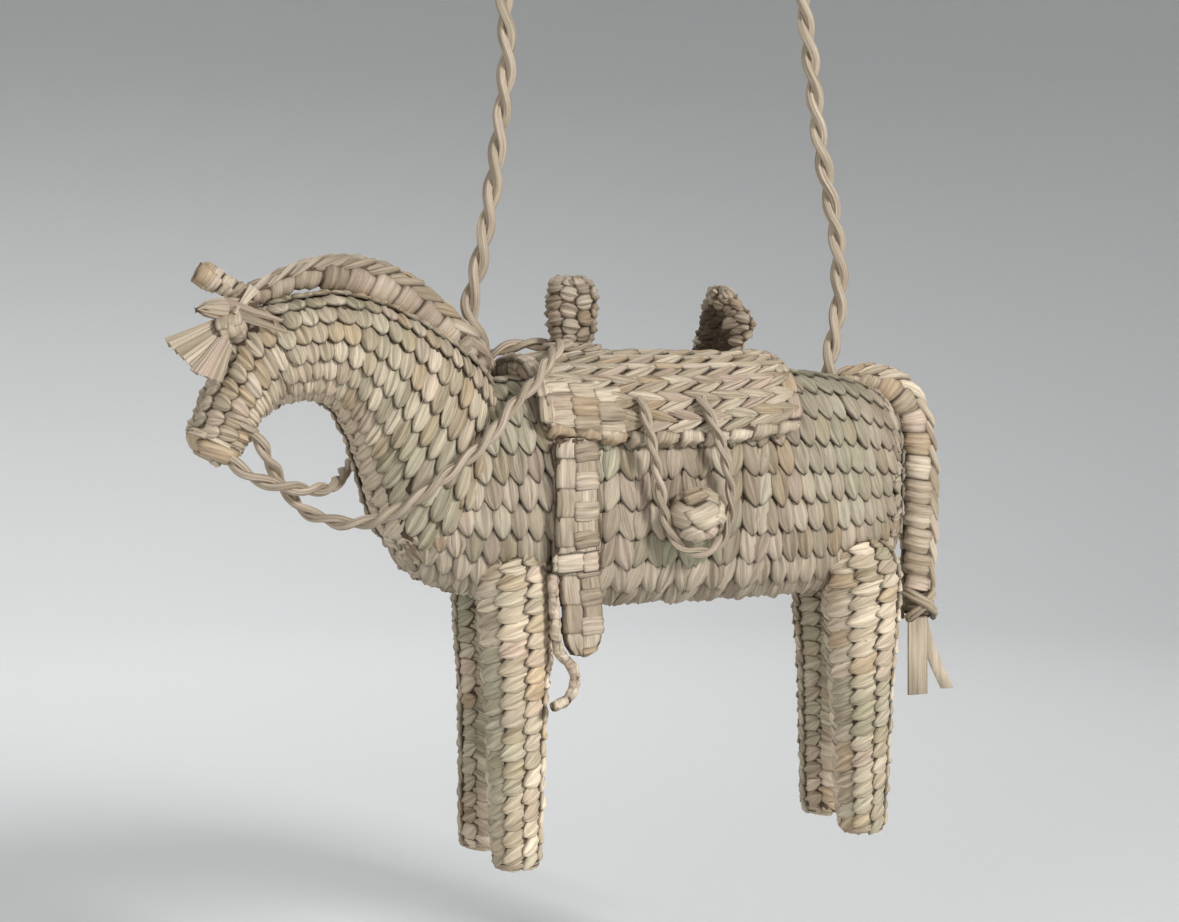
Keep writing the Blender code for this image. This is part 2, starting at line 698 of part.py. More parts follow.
def ear(name, root, tip):
    """A short leaf ear that tapers to a rounded tip."""
    start, end = (Vector((x, y, BACK_Z + z)) for x, y, z in (root, tip))
    run = (end - start).normalized()
    side = run.cross(Vector((0, 0, 1))).normalized()
    up = side.cross(run)
    across, along = side * EAR_RADIUS * EAR_FLATNESS, up * EAR_RADIUS
    rings = [oval(start.lerp(end, share), across * size, along * size, 2, ROLL_SIDES)
             for share, size in EAR_PROFILE_SHARES]
    return loft(name, rings, end=end)


def tail_tie():
    """The wrap that ties the end of the tail."""
    x, z, _ = TAIL_ROLL[-1]
    top = BACK_Z + z - GAP
    return upright_cylinder("tail_tie", RUMP_X + x, 0, top - TIE_HEIGHT, top, TIE_RADIUS)


def tail_strip(name, shift, y, width, swing, length):
    """One loose strip of the tail's tassel, hanging under the tie."""
    x, z, _ = TAIL_ROLL[-1]
    top = BACK_Z + z - TIE_HEIGHT - 2 * GAP
    rings = []
    for share in (0.0, 0.35, 0.7, 1.0):
        centre = Vector((RUMP_X + x + shift + swing * share ** STRIP_CURL, y, top - length * share))
        across, along = Vector((width / 2, 0, 0)), Vector((0, STRIP_THICKNESS / 2, 0))
        rings.append(oval(centre, across, along, FLAT_POWER, STRIP_SIDES))
    return loft(name, rings)


def ball():
    """The woven ball button, a little flattened against the basket."""
    y = -(BODY_WIDTH / 2 + GAP + BALL_DEPTH / 2)
    rings = []
    for i in range(1, BALL_RINGS):
        turn = math.pi * i / BALL_RINGS
        radius = math.sin(turn)
        centre = Vector((BALL_X, y - BALL_DEPTH / 2 * math.cos(turn), BALL_Z))
        across = Vector((BALL_WIDTH / 2 * radius, 0, 0))
        along = Vector((0, 0, BALL_HEIGHT / 2 * radius))
        rings.append(oval(centre, across, along, 2, LEG_SIDES))
    poles = [Vector((BALL_X, y + BALL_DEPTH / 2 * sign, BALL_Z)) for sign in (-1, 1)]
    return loft("closure_ball", rings, poles[0], poles[1])


def level_cylinder(name, y_from, y_to, radius):
    """A cylinder along Y behind the ball."""
    across, along = Vector((radius, 0, 0)), Vector((0, 0, radius))
    rings = [oval(Vector((BALL_X, y, BALL_Z)), across, along, 2, ROUND_SIDES) for y in (y_from, y_to)]
    return loft(name, rings)


def ball_tie():
    """The cord stub that holds the ball, with its knot inside the basket."""
    wall_in = BODY_WIDTH / 2 - BODY_WALL
    outer = -(BODY_WIDTH / 2 - GAP)
    knot_out = -(wall_in - 3 * GAP)
    knot_in = knot_out + BALL_KNOT_LENGTH
    stations = ((outer, BALL_TIE_RADIUS), (knot_out, BALL_TIE_RADIUS),
                (knot_out + GAP, BALL_KNOT_RADIUS), (knot_in, BALL_KNOT_RADIUS))
    rings = [oval(Vector((BALL_X, y, BALL_Z)), Vector((r, 0, 0)), Vector((0, 0, r)), 2, ROUND_SIDES)
             for y, r in stations]
    return loft("ball_tie", rings)


def strap_knot(name, place):
    """The knot inside the basket under one end of the strap."""
    x, y, z = place
    top = z - GAP
    radius = STRAP_KNOT_RADIUS
    rings = []
    for share, size in STRAP_KNOT_PROFILE_SHARES:
        centre = Vector((x, y, top - STRAP_KNOT_HEIGHT * share))
        across, along = Vector((radius * size, 0, 0)), Vector((0, radius * size, 0))
        rings.append(oval(centre, across, along, 2, ROUND_SIDES))
    return loft(name, rings)


def rein_knot(lid_cutter):
    """The rein's turn round the foot of the horn."""
    z = BACK_Z + SADDLE_OUTER + REIN_KNOT_RADIUS
    grow = REIN_KNOT_RADIUS + GAP
    ring = oval(Vector((HORN_X, 0, z)), Vector((HORN_WIDTH / 2 * HORN_WAIST + grow, 0, 0)),
                Vector((0, HORN_DEPTH / 2 * HORN_WAIST + grow, 0)), HORN_POWER, FINE_SIDES)
    centre = ring_centre(ring)
    circles = []
    for point in ring:
        out = (point - centre).normalized()
        circles.append(oval(point, out * REIN_KNOT_RADIUS, Vector((0, 0, REIN_KNOT_RADIUS)), 2, 8))
    return cut(closed_loft("rein_knot", circles), lid_cutter)


def build():
    """Make every piece and hang it on its joint's empty."""
    clear_scene()
    nose_x = FORELOCK_RIBS[-1][0]
    tail_x = RUMP_X + TAIL_ROLL[-1][0] + SIDE_STRIP_SHIFT + SIDE_STRIP_SWING + SIDE_STRIP_WIDTH / 2
    horse = add_empty("horse", (0, 0, 0))
    hinge = (0, HINGE_Y, hinge_height())
    lid_axis = add_empty("lid_axis", hinge, horse)
    near_axis = add_empty("near_stirrup_axis", (FENDER_X, -FENDER_Y, fender_top()), lid_axis)
    far_axis = add_empty("far_stirrup_axis", (FENDER_X, FENDER_Y, fender_top()), horse)

    body_clear = as_cutter(barrel("body_clear", GAP), horse)
    cavity = as_cutter(barrel("cavity", -BODY_WALL, CAVITY_RINGS, CAVITY_SIDES), horse)
    mouth = as_cutter(mouth_cutter(), horse)
    neck_clear = as_cutter(rib_loft("neck_clear", NECK_RIBS, NECK_POWER, GAP), horse)
    head_clear = as_cutter(rib_loft("head_clear", HEAD_RIBS, HEAD_POWER, GAP), horse)
    mane_clear = as_cutter(roll("mane_clear", MANE_ROLL, MANE_THICKNESS_SHARE, grow=GAP), horse)
    lid_clear = as_cutter(saddle_sheet("lid_clear", near_edge, far_edge, -2 * BODY_WALL,
                                       SADDLE_OUTER + GAP, 3 * SHEET_STEPS_ROUND, GAP), horse)
    strap_ends = (STRAP_ROUTE[0], STRAP_ROUTE[-1])
    holes = [as_cutter(upright_cylinder("strap_hole_" + str(i), x, y, z - GAP, BACK_Z + BODY_WALL,
                                        STRAP_RADIUS + STRAP_CLEARANCE), horse)
             for i, (x, y, z) in enumerate(strap_ends)]
    ball_hole = as_cutter(level_cylinder("ball_hole", -BODY_WIDTH / 2 - BODY_WALL,
                                         -BODY_WIDTH / 2 + 2 * BODY_WALL, BALL_TIE_RADIUS + GAP), horse)

    attach(cut(barrel("body_basket"), cavity, mouth, *holes, ball_hole), horse, GREEN_STRAW)
    attach(cut(rib_loft("neck", NECK_RIBS, NECK_POWER), body_clear, holes[0]), horse, STRAW)
    attach(cut(rib_loft("head", HEAD_RIBS, HEAD_POWER), neck_clear), horse, STRAW)
    attach(muzzle_plug(), horse, PALE_STRAW)
    attach(noseband(head_clear), horse, STRAW)
    attach(cut(roll("mane", MANE_ROLL, MANE_THICKNESS_SHARE), neck_clear, head_clear, body_clear),
           horse, PALE_STRAW)
    for name, root, tip in (("ear_far", FAR_EAR_ROOT, FAR_EAR_TIP),
                            ("ear_near", NEAR_EAR_ROOT, NEAR_EAR_TIP)):
        attach(cut(ear(name, root, tip), head_clear, mane_clear), horse, STRAW)
    tie = rib_loft("forelock_tie", FORELOCK_TIE_RIBS, FORELOCK_TIE_POWER)
    attach(cut(tie, head_clear), horse, STRAW)
    attach(rib_loft("forelock", FORELOCK_RIBS, FORELOCK_POWER), horse, PALE_STRAW)

    front_leg = (FRONT_KNEE_DIAMETER, FRONT_TOP_DIAMETER)
    rear_leg = (REAR_KNEE_DIAMETER, REAR_TOP_DIAMETER)
    for name, x, y, (knee, top), share in (
            ("leg_front_near", 0.0, -LEG_TRACK / 2, front_leg, 1.0),
            ("leg_front_far", FAR_FRONT_SHIFT, LEG_TRACK / 2, front_leg, FAR_LEG_SHARE),
            ("leg_rear_near", LEG_SPACING, -LEG_TRACK / 2, rear_leg, 1.0),
            ("leg_rear_far", LEG_SPACING + FAR_REAR_SHIFT, LEG_TRACK / 2, rear_leg, FAR_LEG_SHARE)):
        attach(cut(leg(name, x, y, knee * share, top * share), body_clear), horse, STRAW)

    attach(cut(roll("tail", TAIL_ROLL, TAIL_THICKNESS_SHARE, RUMP_X), body_clear, holes[1]), horse, STRAW)
    attach(tail_tie(), horse, PALE_STRAW)
    for name, shift, y, width, swing, share in (
            ("tail_strip_wide", WIDE_STRIP_SHIFT, -STRIP_SPACING, WIDE_STRIP_WIDTH, 0.0, 1.0),
            ("tail_strip_side", SIDE_STRIP_SHIFT, 0.0, SIDE_STRIP_WIDTH, SIDE_STRIP_SWING,
             SIDE_STRIP_SHARE),
            ("tail_strip_short", SHORT_STRIP_SHIFT, STRIP_SPACING, SIDE_STRIP_WIDTH, SHORT_STRIP_SWING,
             SHORT_STRIP_SHARE)):
        attach(tail_strip(name, shift, y, width, swing, STRIP_LENGTH * share), horse, PALE_STRAW)

    attach(saddle_sheet("saddle_lid", near_edge, hinge_edge(-1), SADDLE_GAP, SADDLE_OUTER),
           lid_axis, PALE_STRAW)
    attach(saddle_sheet("saddle_skirt", hinge_edge(1), far_edge, SADDLE_GAP, SADDLE_OUTER),
           horse, PALE_STRAW)
    hinge_ends = (SADDLE_FRONT + SADDLE_GAP, SADDLE_FRONT + SADDLE_LENGTH - SADDLE_GAP)
    attach(cord("hinge_cord", [(x, HINGE_Y, hinge[2]) for x in hinge_ends], HINGE_CORD_RADIUS, 1),
           horse, DARK_STRAW)
    attach(cut(horn(), lid_clear), lid_axis, STRAW)
    attach(cut(cantle(), lid_clear), lid_axis, STRAW)
    attach(rein_knot(lid_clear), lid_axis, STRAW)
    attach(cord("closure_loop", LOOP_ROUTE, LOOP_RADIUS), lid_axis, STRAW)
    attach(ball(), horse, PALE_STRAW)
    attach(ball_tie(), horse, DARK_STRAW)

    for side_name, side, axis in (("near", -1, near_axis), ("far", 1, far_axis)):
        attach(fender("fender_" + side_name, side), axis, PALE_STRAW)
        attach(fender_band("fender_band_" + side_name, side), axis, STRAW)
        attach(stirrup("stirrup_" + side_name, side), axis, STRAW)

    attach(cord("rein_near", NEAR_REIN_ROUTE, REIN_RADIUS), horse, PALE_STRAW)
    attach(cord("rein_far", FAR_REIN_ROUTE, REIN_RADIUS), horse, PALE_STRAW)
    attach(cord("rein_near_end", NEAR_REIN_END_ROUTE, REIN_RADIUS), lid_axis, PALE_STRAW)
    attach(cord("rein_far_end", FAR_REIN_END_ROUTE, REIN_RADIUS), lid_axis, PALE_STRAW)
    attach(cord("strap", STRAP_ROUTE, STRAP_RADIUS, smoothness=3), horse, PALE_STRAW)
    for name, place in zip(("strap_knot_front", "strap_knot_rear"), strap_ends):
        attach(strap_knot(name, place), horse, DARK_STRAW)

    ball_reach = BODY_WIDTH / 2 + GAP + BALL_DEPTH
    band_reach = FENDER_Y + FENDER_THICKNESS / 2 + GAP + BAND_THICKNESS
    horse.location = (-(nose_x + tail_x) / 2, (ball_reach - band_reach) / 2, 0)


build()
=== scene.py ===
"""Dresses the frame of a woven palm-leaf horse bag.

The frame gives the places. The leaves, cords and strips that show are made here and laid on it:
each woven tube or sheet has a flat chart of its surface, leaves are set out on the chart as on a
table, and the chart then carries them onto the horse.
"""

import json
import math
import random

import bmesh
import bpy
import numpy as np
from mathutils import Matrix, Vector, noise
from mathutils.bvhtree import BVHTree

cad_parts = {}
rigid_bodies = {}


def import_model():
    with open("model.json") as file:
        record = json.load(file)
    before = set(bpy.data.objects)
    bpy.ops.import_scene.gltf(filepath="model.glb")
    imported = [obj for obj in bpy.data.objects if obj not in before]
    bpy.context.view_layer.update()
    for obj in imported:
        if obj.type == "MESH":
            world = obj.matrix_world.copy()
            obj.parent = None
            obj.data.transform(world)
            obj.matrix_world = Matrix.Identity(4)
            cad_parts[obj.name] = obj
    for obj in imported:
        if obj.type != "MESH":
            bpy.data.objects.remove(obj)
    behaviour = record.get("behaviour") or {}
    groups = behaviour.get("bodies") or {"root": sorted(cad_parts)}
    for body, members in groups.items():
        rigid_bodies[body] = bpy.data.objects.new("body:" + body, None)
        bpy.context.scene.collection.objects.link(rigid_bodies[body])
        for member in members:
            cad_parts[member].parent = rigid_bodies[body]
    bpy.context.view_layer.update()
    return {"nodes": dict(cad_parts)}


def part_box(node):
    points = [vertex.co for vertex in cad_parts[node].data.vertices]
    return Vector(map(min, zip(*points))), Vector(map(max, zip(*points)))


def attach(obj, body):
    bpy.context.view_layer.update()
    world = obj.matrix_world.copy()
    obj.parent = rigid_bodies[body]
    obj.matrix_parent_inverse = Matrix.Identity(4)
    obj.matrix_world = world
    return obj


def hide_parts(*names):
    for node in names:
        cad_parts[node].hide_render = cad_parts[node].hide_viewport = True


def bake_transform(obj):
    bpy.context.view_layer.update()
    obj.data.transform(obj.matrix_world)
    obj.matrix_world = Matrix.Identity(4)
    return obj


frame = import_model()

bl_info = {
    "name": "Woven horse bag",
    "version": (1, 0, 0),
    "blender": (4, 5, 0),
    "location": "3D View > Sidebar > Horse bag",
    "description": "Weaves the leaves, cords and strips of a palm-leaf horse bag over its frame",
    "category": "Mesh",
}

AFT, NEAR, FAR, UP = Vector((1, 0, 0)), Vector((0, -1, 0)), Vector((0, 1, 0)), Vector((0, 0, 1))
QUARTER = math.pi / 2


def corners(node):
    """Lowest and highest corner of a frame node."""
    return [Vector(corner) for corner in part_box(node)]


def middle(node):
    """Middle of a frame node's box."""
    low, high = corners(node)
    return (low + high) / 2


# The horse's own axes start on the line of its front legs, in its mid-plane, at its soles.
HOME = Vector((middle("leg_front_near").x, middle("body_basket").y, 0.0))
BACK_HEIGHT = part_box("body_basket")[1][2]
# Lengths of the back, from HOME, that the saddle covers and that the bag's mouth takes up.
SADDLE_SPAN = (-.002, .132)
MOUTH_SPAN = (.012, .118)
# The saddle is round a line this far up.
SADDLE_AXIS = BACK_HEIGHT - .055
# The way that the hollow of the cantle and the end of the muzzle face.
CANTLE_FRONT = np.array((-.958, -.287, 0))
MUZZLE_FRONT = np.array((-.431, 0, -.903))
# The record's material slots of the nodes whose slot isn't straw.
SLOTS = {
    **dict.fromkeys((
        "muzzle_plug", "mane", "forelock", "tail_tie", "tail_strip_wide", "tail_strip_side", "tail_strip_short",
        "saddle_lid", "saddle_skirt", "closure_ball", "fender_near", "fender_far", "rein_near", "rein_far", "strap",
    ), "pale_straw"),
    **dict.fromkeys(("hinge_cord", "ball_tie", "strap_knot_front", "strap_knot_rear"), "dark_straw"),
    "body_basket": "green_straw",
}

# Ribs of the neck and head: crest x, crest z, throat x, throat z, half width. Heights from the back.
NECK_RIBS = (
    (-.0040, -.0060, -.0420, -.0800, .0290), (-.0085, .0010, -.0540, -.0660, .0300),
    (-.0213, .0117, -.0600, -.0462, .0275), (-.0391, .0221, -.0653, -.0296, .0245),
    (-.0567, .0293, -.0725, -.0160, .0215), (-.0739, .0319, -.0803, -.0123, .0195),
    (-.0909, .0297, -.0880, -.0122, .0185), (-.1020, .0270, -.0945, -.0140, .0178),
)
HEAD_RIBS = (
    (-.0960, .0265, -.0905, -.0110, .0160), (-.1080, .0250, -.0965, -.0145, .0172),
    (-.1145, .0150, -.1005, -.0170, .0168), (-.1205, .0030, -.1045, -.0205, .0152),
    (-.1275, -.0125, -.1075, -.0260, .0130), (-.1325, -.0250, -.1130, -.0355, .0118),
)
# Mane and tail: x, z and radius along the roll. Heights from the back.
MANE_ROLL = (
    (-.1085, .0288, .0036), (-.1000, .0312, .0042), (-.0875, .0368, .0046), (-.0739, .0386, .0064),
    (-.0580, .0362, .0080), (-.0413, .0294, .0080), (-.0258, .0186, .0073), (-.0132, .0072, .0066),
    (-.0065, -.0022, .0050),
)
TAIL_ROLL = (
    (.1680, -.0050, .0020), (.1760, -.0050, .0044), (.1850, -.0055, .0064), (.1940, -.0078, .0078),
    (.2020, -.0125, .0083), (.2088, -.0215, .0083), (.2118, -.0355, .0083), (.2126, -.0575, .0084),
    (.2122, -.0825, .0082), (.2118, -.1035, .0070),
)

# Routes of the cords, from HOME.
STRAP_ROUTE = (
    (.0005, .0105, .1940), (.0005, .0105, .2015), (.0003, .0105, .2090), (-.0035, .0105, .2190),
    (-.0080, .0105, .2336), (-.0034, .0102, .2541), (-.0004, .0095, .2704), (.0020, .0075, .2882),
    (.0048, .0040, .3210), (.0056, .0010, .3427), (.0034, 0, .3640), (.0042, 0, .3870),
    (.0112, 0, .4125), (.0272, 0, .4345), (.0500, 0, .4475), (.0765, 0, .4520), (.1030, 0, .4475),
    (.1255, 0, .4345), (.1410, 0, .4130), (.1482, 0, .3900), (.1512, 0, .3690), (.1545, 0, .3470),
    (.1592, 0, .3113), (.1650, 0, .2842), (.1690, 0, .2614), (.1695, 0, .2386), (.1658, 0, .2180),
    (.1641, 0, .2090), (.1640, 0, .2020), (.1640, 0, .1950),
)
NEAR_REIN_ROUTE = (
    (-.1092, -.0085, .1822), (-.1060, -.0115, .1768), (-.1004, -.0065, .1688), (-.0948, -.0025, .1610),
    (-.0904, -.0012, .1551), (-.0861, -.0035, .1499), (-.0793, -.0100, .1464),
    (-.0706, -.0180, .1447), (-.0613, -.0255, .1469), (-.0529, -.0315, .1522),
    (-.0438, -.0358, .1590), (-.0327, -.0384, .1681), (-.0228, -.0396, .1761),
    (-.0149, -.0392, .1844), (-.0081, -.0378, .1922), (-.0007, -.0352, .1986),
    (.0042, -.0331, .2023), (.0110, -.0288, .2092), (.0165, -.0230, .2136), (.0215, -.0165, .2164),
    (.0245, -.0122, .2173), (.0290, -.0098, .2172),
)
FAR_REIN_ROUTE = (
    (-.1195, -.0060, .1735), (-.1172, -.0080, .1706), (-.1127, -.0105, .1660), (-.1060, -.0115, .1625),
    (-.0977, -.0115, .1603), (-.0888, -.0095, .1588), (-.0790, -.0040, .1582),
    (-.0705, .0040, .1595), (-.0640, .0140, .1625), (-.0570, .0260, .1660), (-.0460, .0335, .1715),
    (-.0330, .0355, .1785), (-.0220, .0335, .1890), (-.0140, .0290, .2000), (-.0070, .0240, .2065),
    (-.0010, .0205, .2105), (.0050, .0186, .2132), (.0120, .0150, .2165), (.0185, .0105, .2178),
    (.0235, .0078, .2176), (.0275, .0052, .2172),
)
LOOP_ROUTE = (
    (.0490, -.0384, .1952), (.0497, -.0428, .1870), (.0512, -.0446, .1775), (.0540, -.0440, .1660),
    (.0562, -.0434, .1560), (.0583, -.0430, .1465), (.0612, -.0427, .1385), (.0660, -.0422, .1330),
    (.0725, -.0418, .1302), (.0795, -.0418, .1302), (.0852, -.0420, .1335), (.0885, -.0424, .1400),
    (.0900, -.0428, .1480), (.0892, -.0432, .1580), (.0868, -.0438, .1680), (.0830, -.0446, .1785),
    (.0800, -.0428, .1870), (.0775, -.0384, .1952),
)
# A stirrup's x and z, from its fender's foot, and that foot's x and z and the distance to its side.
STIRRUP_ROUTE = (
    (.0015, -.0003), (.0022, -.0130), (.0030, -.0260), (.0048, -.0335), (.0082, -.0362), (.0110, -.0400),
    (.0116, -.0450), (.0098, -.0500), (.0060, -.0532), (.0010, -.0548),
)
STIRRUP_FOOT = (.00725, .1233)
STIRRUP_ASIDE = .0390
STIRRUP_RADIUS = .0021
# Distance of each strand of a cord from its middle line, and the strand's radius, as shares of its thickness.
STRAND_OFFSET, STRAND_RADIUS = .246, .254
# How many patches of green leaf there are to a metre.
GREEN_PATCHES = 26
# Rays that stop short of this share of the usual radius have met something inside.
SHORT_RAY = .55


# Shapes in numbers

def at_home(x, y, z):
    """A point of the horse's own axes, in the frame."""
    return Vector((x, y, z)) + HOME


def turns_of(count):
    """Angles of even steps round a circle."""
    return [2 * math.pi * k / count for k in range(count)]


def fit(run, size):
    """How many pieces of about a size fill a run, and their true size."""
    count = max(int(round(run / size)), 1)
    return count, run / count


def smooth_route(points, steps=6):
    """A route through the points, rounded between them."""
    points = [Vector(p) for p in points]
    ends = [2 * points[0] - points[1]] + points + [2 * points[-1] - points[-2]]
    route = []
    for before, start, end, after in zip(ends, ends[1:], ends[2:], ends[3:]):
        for step in range(steps):
            t = step / steps
            route.append(
                ((2 * start) + (end - before) * t + (2 * before - 5 * start + 4 * end - after) * t * t
                 + (3 * start - before - 3 * end + after) * t ** 3) / 2
            )
    route.append(points[-1])
    return route


def even_steps(line, count, closed=False):
    """Places the given number of points evenly along a line."""
    line = np.asarray([tuple(p) for p in line], float)
    if closed:
        line = np.vstack([line, line[:1]])
    gaps = np.linalg.norm(np.diff(line, axis=0), axis=1)
    length = np.concatenate([[0.0], np.cumsum(gaps)])
    wanted = np.linspace(0.0, length[-1], count, endpoint=not closed)
    return np.stack([np.interp(wanted, length, line[:, k]) for k in range(3)], axis=1)


def soften(grid, closed, passes=2):
    """Rounds off the small corners of a grid of points."""
    for _ in range(passes):
        inner = grid.copy()
        inner[1:-1] = grid[:-2] * .25 + grid[1:-1] * .5 + grid[2:] * .25
        if closed:
            inner = np.roll(inner, 1, 1) * .25 + inner * .5 + np.roll(inner, -1, 1) * .25
        else:
            kept = inner.copy()
            inner[:, 1:-1] = kept[:, :-2] * .25 + kept[:, 1:-1] * .5 + kept[:, 2:] * .25
        grid = inner
    return grid


def grid_faces(rows, lanes, closed=False):
    """Faces of a grid of points, row by row."""
    return [
        (i * lanes + j, i * lanes + (j + 1) % lanes, (i + 1) * lanes + (j + 1) % lanes, (i + 1) * lanes + j)
        for i in range(rows - 1) for j in range(lanes if closed else lanes - 1)
    ]


def show(name, data):
    """A new object in the scene."""
    thing = bpy.data.objects.new(name, data)
    bpy.context.scene.collection.objects.link(thing)
    return thing


def note(mesh, label, values):
    """Writes a number or a vector at each point of a mesh."""
    values = np.asarray(values, float)
    kind, field = ("FLOAT", "value") if values.ndim == 1 else ("FLOAT_VECTOR", "vector")
    mesh.attributes.new(label, kind, "POINT").data.foreach_set(field, values.ravel())


class Chart:
    """A surface laid flat: metres along it and metres round it, and the mesh that carries leaves back."""

    SPARE = .015

    def __init__(self, name, rings, closed=True, inside=None, lining=False):
        rings = soften(np.asarray(rings, float), closed)
        count = rings.shape[1]
        steps = np.linalg.norm(np.diff(rings, axis=0), axis=2).mean(axis=1)
        self.name = name
        self.along = np.concatenate([[0.0], np.cumsum(steps)])
        self.length = float(self.along[-1])
        self.middles = rings.mean(axis=1)
        wrapped = np.concatenate([rings, rings[:, :1]], axis=1) if closed else rings
        self.girths = np.linalg.norm(np.diff(wrapped, axis=1), axis=2).sum(axis=1)
        self.girth = float(self.girths.mean())
        spare = self.SPARE
        if closed:
            columns = np.arange(-(count // 2), count + count // 2 + 1)
            grid = rings[:, columns % count]
            across = columns / count * self.girth
        else:
            ends = self.beyond(rings[:, :1], rings[:, 1:2]), self.beyond(rings[:, -1:], rings[:, -2:-1])
            grid = np.concatenate([ends[0], rings, ends[1]], axis=1)
            across = np.concatenate([[-spare], np.linspace(0, self.girth, count), [self.girth + spare]])
        grid = np.concatenate([self.beyond(grid[:1], grid[1:2]), grid, self.beyond(grid[-1:], grid[-2:-1])])
        outward = np.cross(np.gradient(grid, axis=0), np.gradient(grid, axis=1))
        outward /= np.maximum(np.linalg.norm(outward, axis=2, keepdims=True), 1e-12)
        hub = np.concatenate([self.middles[:1], self.middles, self.middles[-1:]])[:, None]
        hub = hub if inside is None else np.asarray(inside)
        if (float(((grid - hub) * outward).sum(axis=2).mean()) < 0) != lining:
            outward = -outward
        flat = np.zeros(grid.shape)
        flat[:, :, 0] = np.concatenate([[-spare], self.along, [self.length + spare]])[:, None]
        flat[:, :, 1] = across
        mesh = bpy.data.meshes.new(name + "_chart")
        mesh.from_pydata(grid.reshape(-1, 3).tolist(), [], grid_faces(*grid.shape[:2]))
        note(mesh, "flat", flat)
        note(mesh, "outward", outward)
        self.thing = show(name + "_chart", mesh)

    def beyond(self, edge, inner):
        """Points straight on past an edge."""
        run = edge - inner
        return edge + run * (self.SPARE / np.maximum(np.linalg.norm(run, axis=2, keepdims=True), 1e-9))

    def at(self, value, axis=0):
        """Metres along the chart where the middle line reaches a coordinate of the frame."""
        line = self.middles[:, axis]
        order = np.argsort(line)
        return float(np.interp(value, line[order], self.along[order]))

    def stretch(self, along):
        """How much longer the chart is round than the surface is there."""
        return self.girth / max(float(np.interp(along, self.along, self.girths)), 1e-6)


def points_of(node):
    """Points of a frame node's mesh."""
    return np.array([tuple(v.co) for v in frame["nodes"][node].data.vertices])


def surface_of(node):
    """Search tree of a frame node's surface."""
    mesh = frame["nodes"][node].data
    return BVHTree.FromPolygons([v.co.copy() for v in mesh.vertices], [tuple(p.vertices) for p in mesh.polygons])


def rings_on(node, frames, reach, count, inward=False, rays=120):
    """Rings of points where rays round each frame meet a node: frames are centre, first and second direction."""
    tree = surface_of(node)
    places = np.arange(rays)
    rings = []
    for centre, first, second in frames:
        outs = [first * math.cos(t) + second * math.sin(t) for t in turns_of(rays)]
        radii = []
        for out in outs:
            hit = tree.ray_cast(*((centre + out * reach, -out) if inward else (centre, out)), reach)[0]
            radii.append((hit - centre).length if hit else 0.0)
        radii = np.array(radii)
        good = radii > np.median(radii[radii > 0]) * SHORT_RAY
        if not good.any():
            raise RuntimeError(node + " has no surface round its middle line")
        radii = np.interp(places, places[good], radii[good], period=rays)
        rings.append(even_steps([centre + out * r for out, r in zip(outs, radii)], count, closed=True))
    return rings


def level_rings(node, levels, first, second, reach, count, inward=False, foot=.0006, head=.0006):
    """Level rings up an upright node, each round the middle of the node there."""
    low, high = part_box(node)
    points = points_of(node)
    frames = []
    for z in np.linspace(low[2] + foot, high[2] - head, levels):
        nearest = points[np.argsort(np.abs(points[:, 2] - z))[:36]]
        span = (nearest.min(axis=0) + nearest.max(axis=0)) / 2
        frames.append((Vector((span[0], span[1], z)), first, second))
    return rings_on(node, frames, reach, count, inward)


def rib_rings(ribs, count=48, square=.9):
    """Rings round a neck or head from its ribs, a little squarer than ovals."""
    rows = np.array(ribs)
    place = np.linspace(0, len(rows) - 1, count)
    rows = np.stack([np.interp(place, np.arange(len(rows)), rows[:, k]) for k in range(5)], axis=1)
    rings = []
    for crest_x, crest_z, throat_x, throat_z, half in rows:
        crest = at_home(crest_x, 0, crest_z + BACK_HEIGHT)
        throat = at_home(throat_x, 0, throat_z + BACK_HEIGHT)
        ring = []
        for turn in turns_of(72):
            up = math.copysign(abs(math.cos(turn)) ** square, math.cos(turn))
            side = math.copysign(abs(math.sin(turn)) ** square, math.sin(turn))
            ring.append((crest + throat) / 2 + (crest - throat) / 2 * up + Vector((0, -half * side, 0)))
        rings.append(even_steps(ring, 48, closed=True))
    return rings


def close_end(rings, last=True, shares=(.82, .5, .16), rise=0.0):
    """Adds smaller rings that close the end of a tube."""
    rings = [np.asarray(r) for r in rings]
    end = rings[-1] if last else rings[0]
    hub = end.mean(axis=0)
    added = [hub + (end - hub) * k + np.array((0, 0, rise * (1 - k))) for k in shares]
    return rings + added if last else list(reversed(added)) + rings


def close_ends(rings):
    """Adds smaller rings that close both ends of a tube."""
    return close_end(close_end(rings), last=False)


def drawn_in(rings, share):
    """Rings drawn in towards their middles."""
    rings = [np.asarray([tuple(p) for p in ring]) for ring in rings]
    return [ring.mean(axis=0) + (ring - ring.mean(axis=0)) * share for ring in rings]


def roll_rings(rows, share, count=60, y=0.0, base=BACK_HEIGHT):
    """Rings along a roll that bends fore and aft: the first point of each ring is on its outer edge."""
    line = even_steps(smooth_route([(x, z + base, r) for x, z, r in rows]), count)
    heading = np.gradient(line[:, :2], axis=0)
    heading /= np.linalg.norm(heading, axis=1, keepdims=True)
    rings = []
    for (x, z, radius), (run, climb) in zip(line, heading):
        ring = []
        for turn in turns_of(36):
            out = math.cos(turn) * radius
            ring.append(at_home(x - climb * out, y - math.sin(turn) * radius * share, z + run * out))
        rings.append(ring)
    return rings


def hoop_rings(line, radii):
    """Rings along a roll that bends across the horse."""
    rings = []
    for k, (point, radius) in enumerate(zip(line, radii)):
        ahead = (line[min(k + 1, len(line) - 1)] - line[max(k - 1, 0)]).normalized()
        second = ahead.cross(AFT)
        rings.append([point + (AFT * math.cos(t) + second * math.sin(t)) * radius for t in turns_of(24)])
    return rings


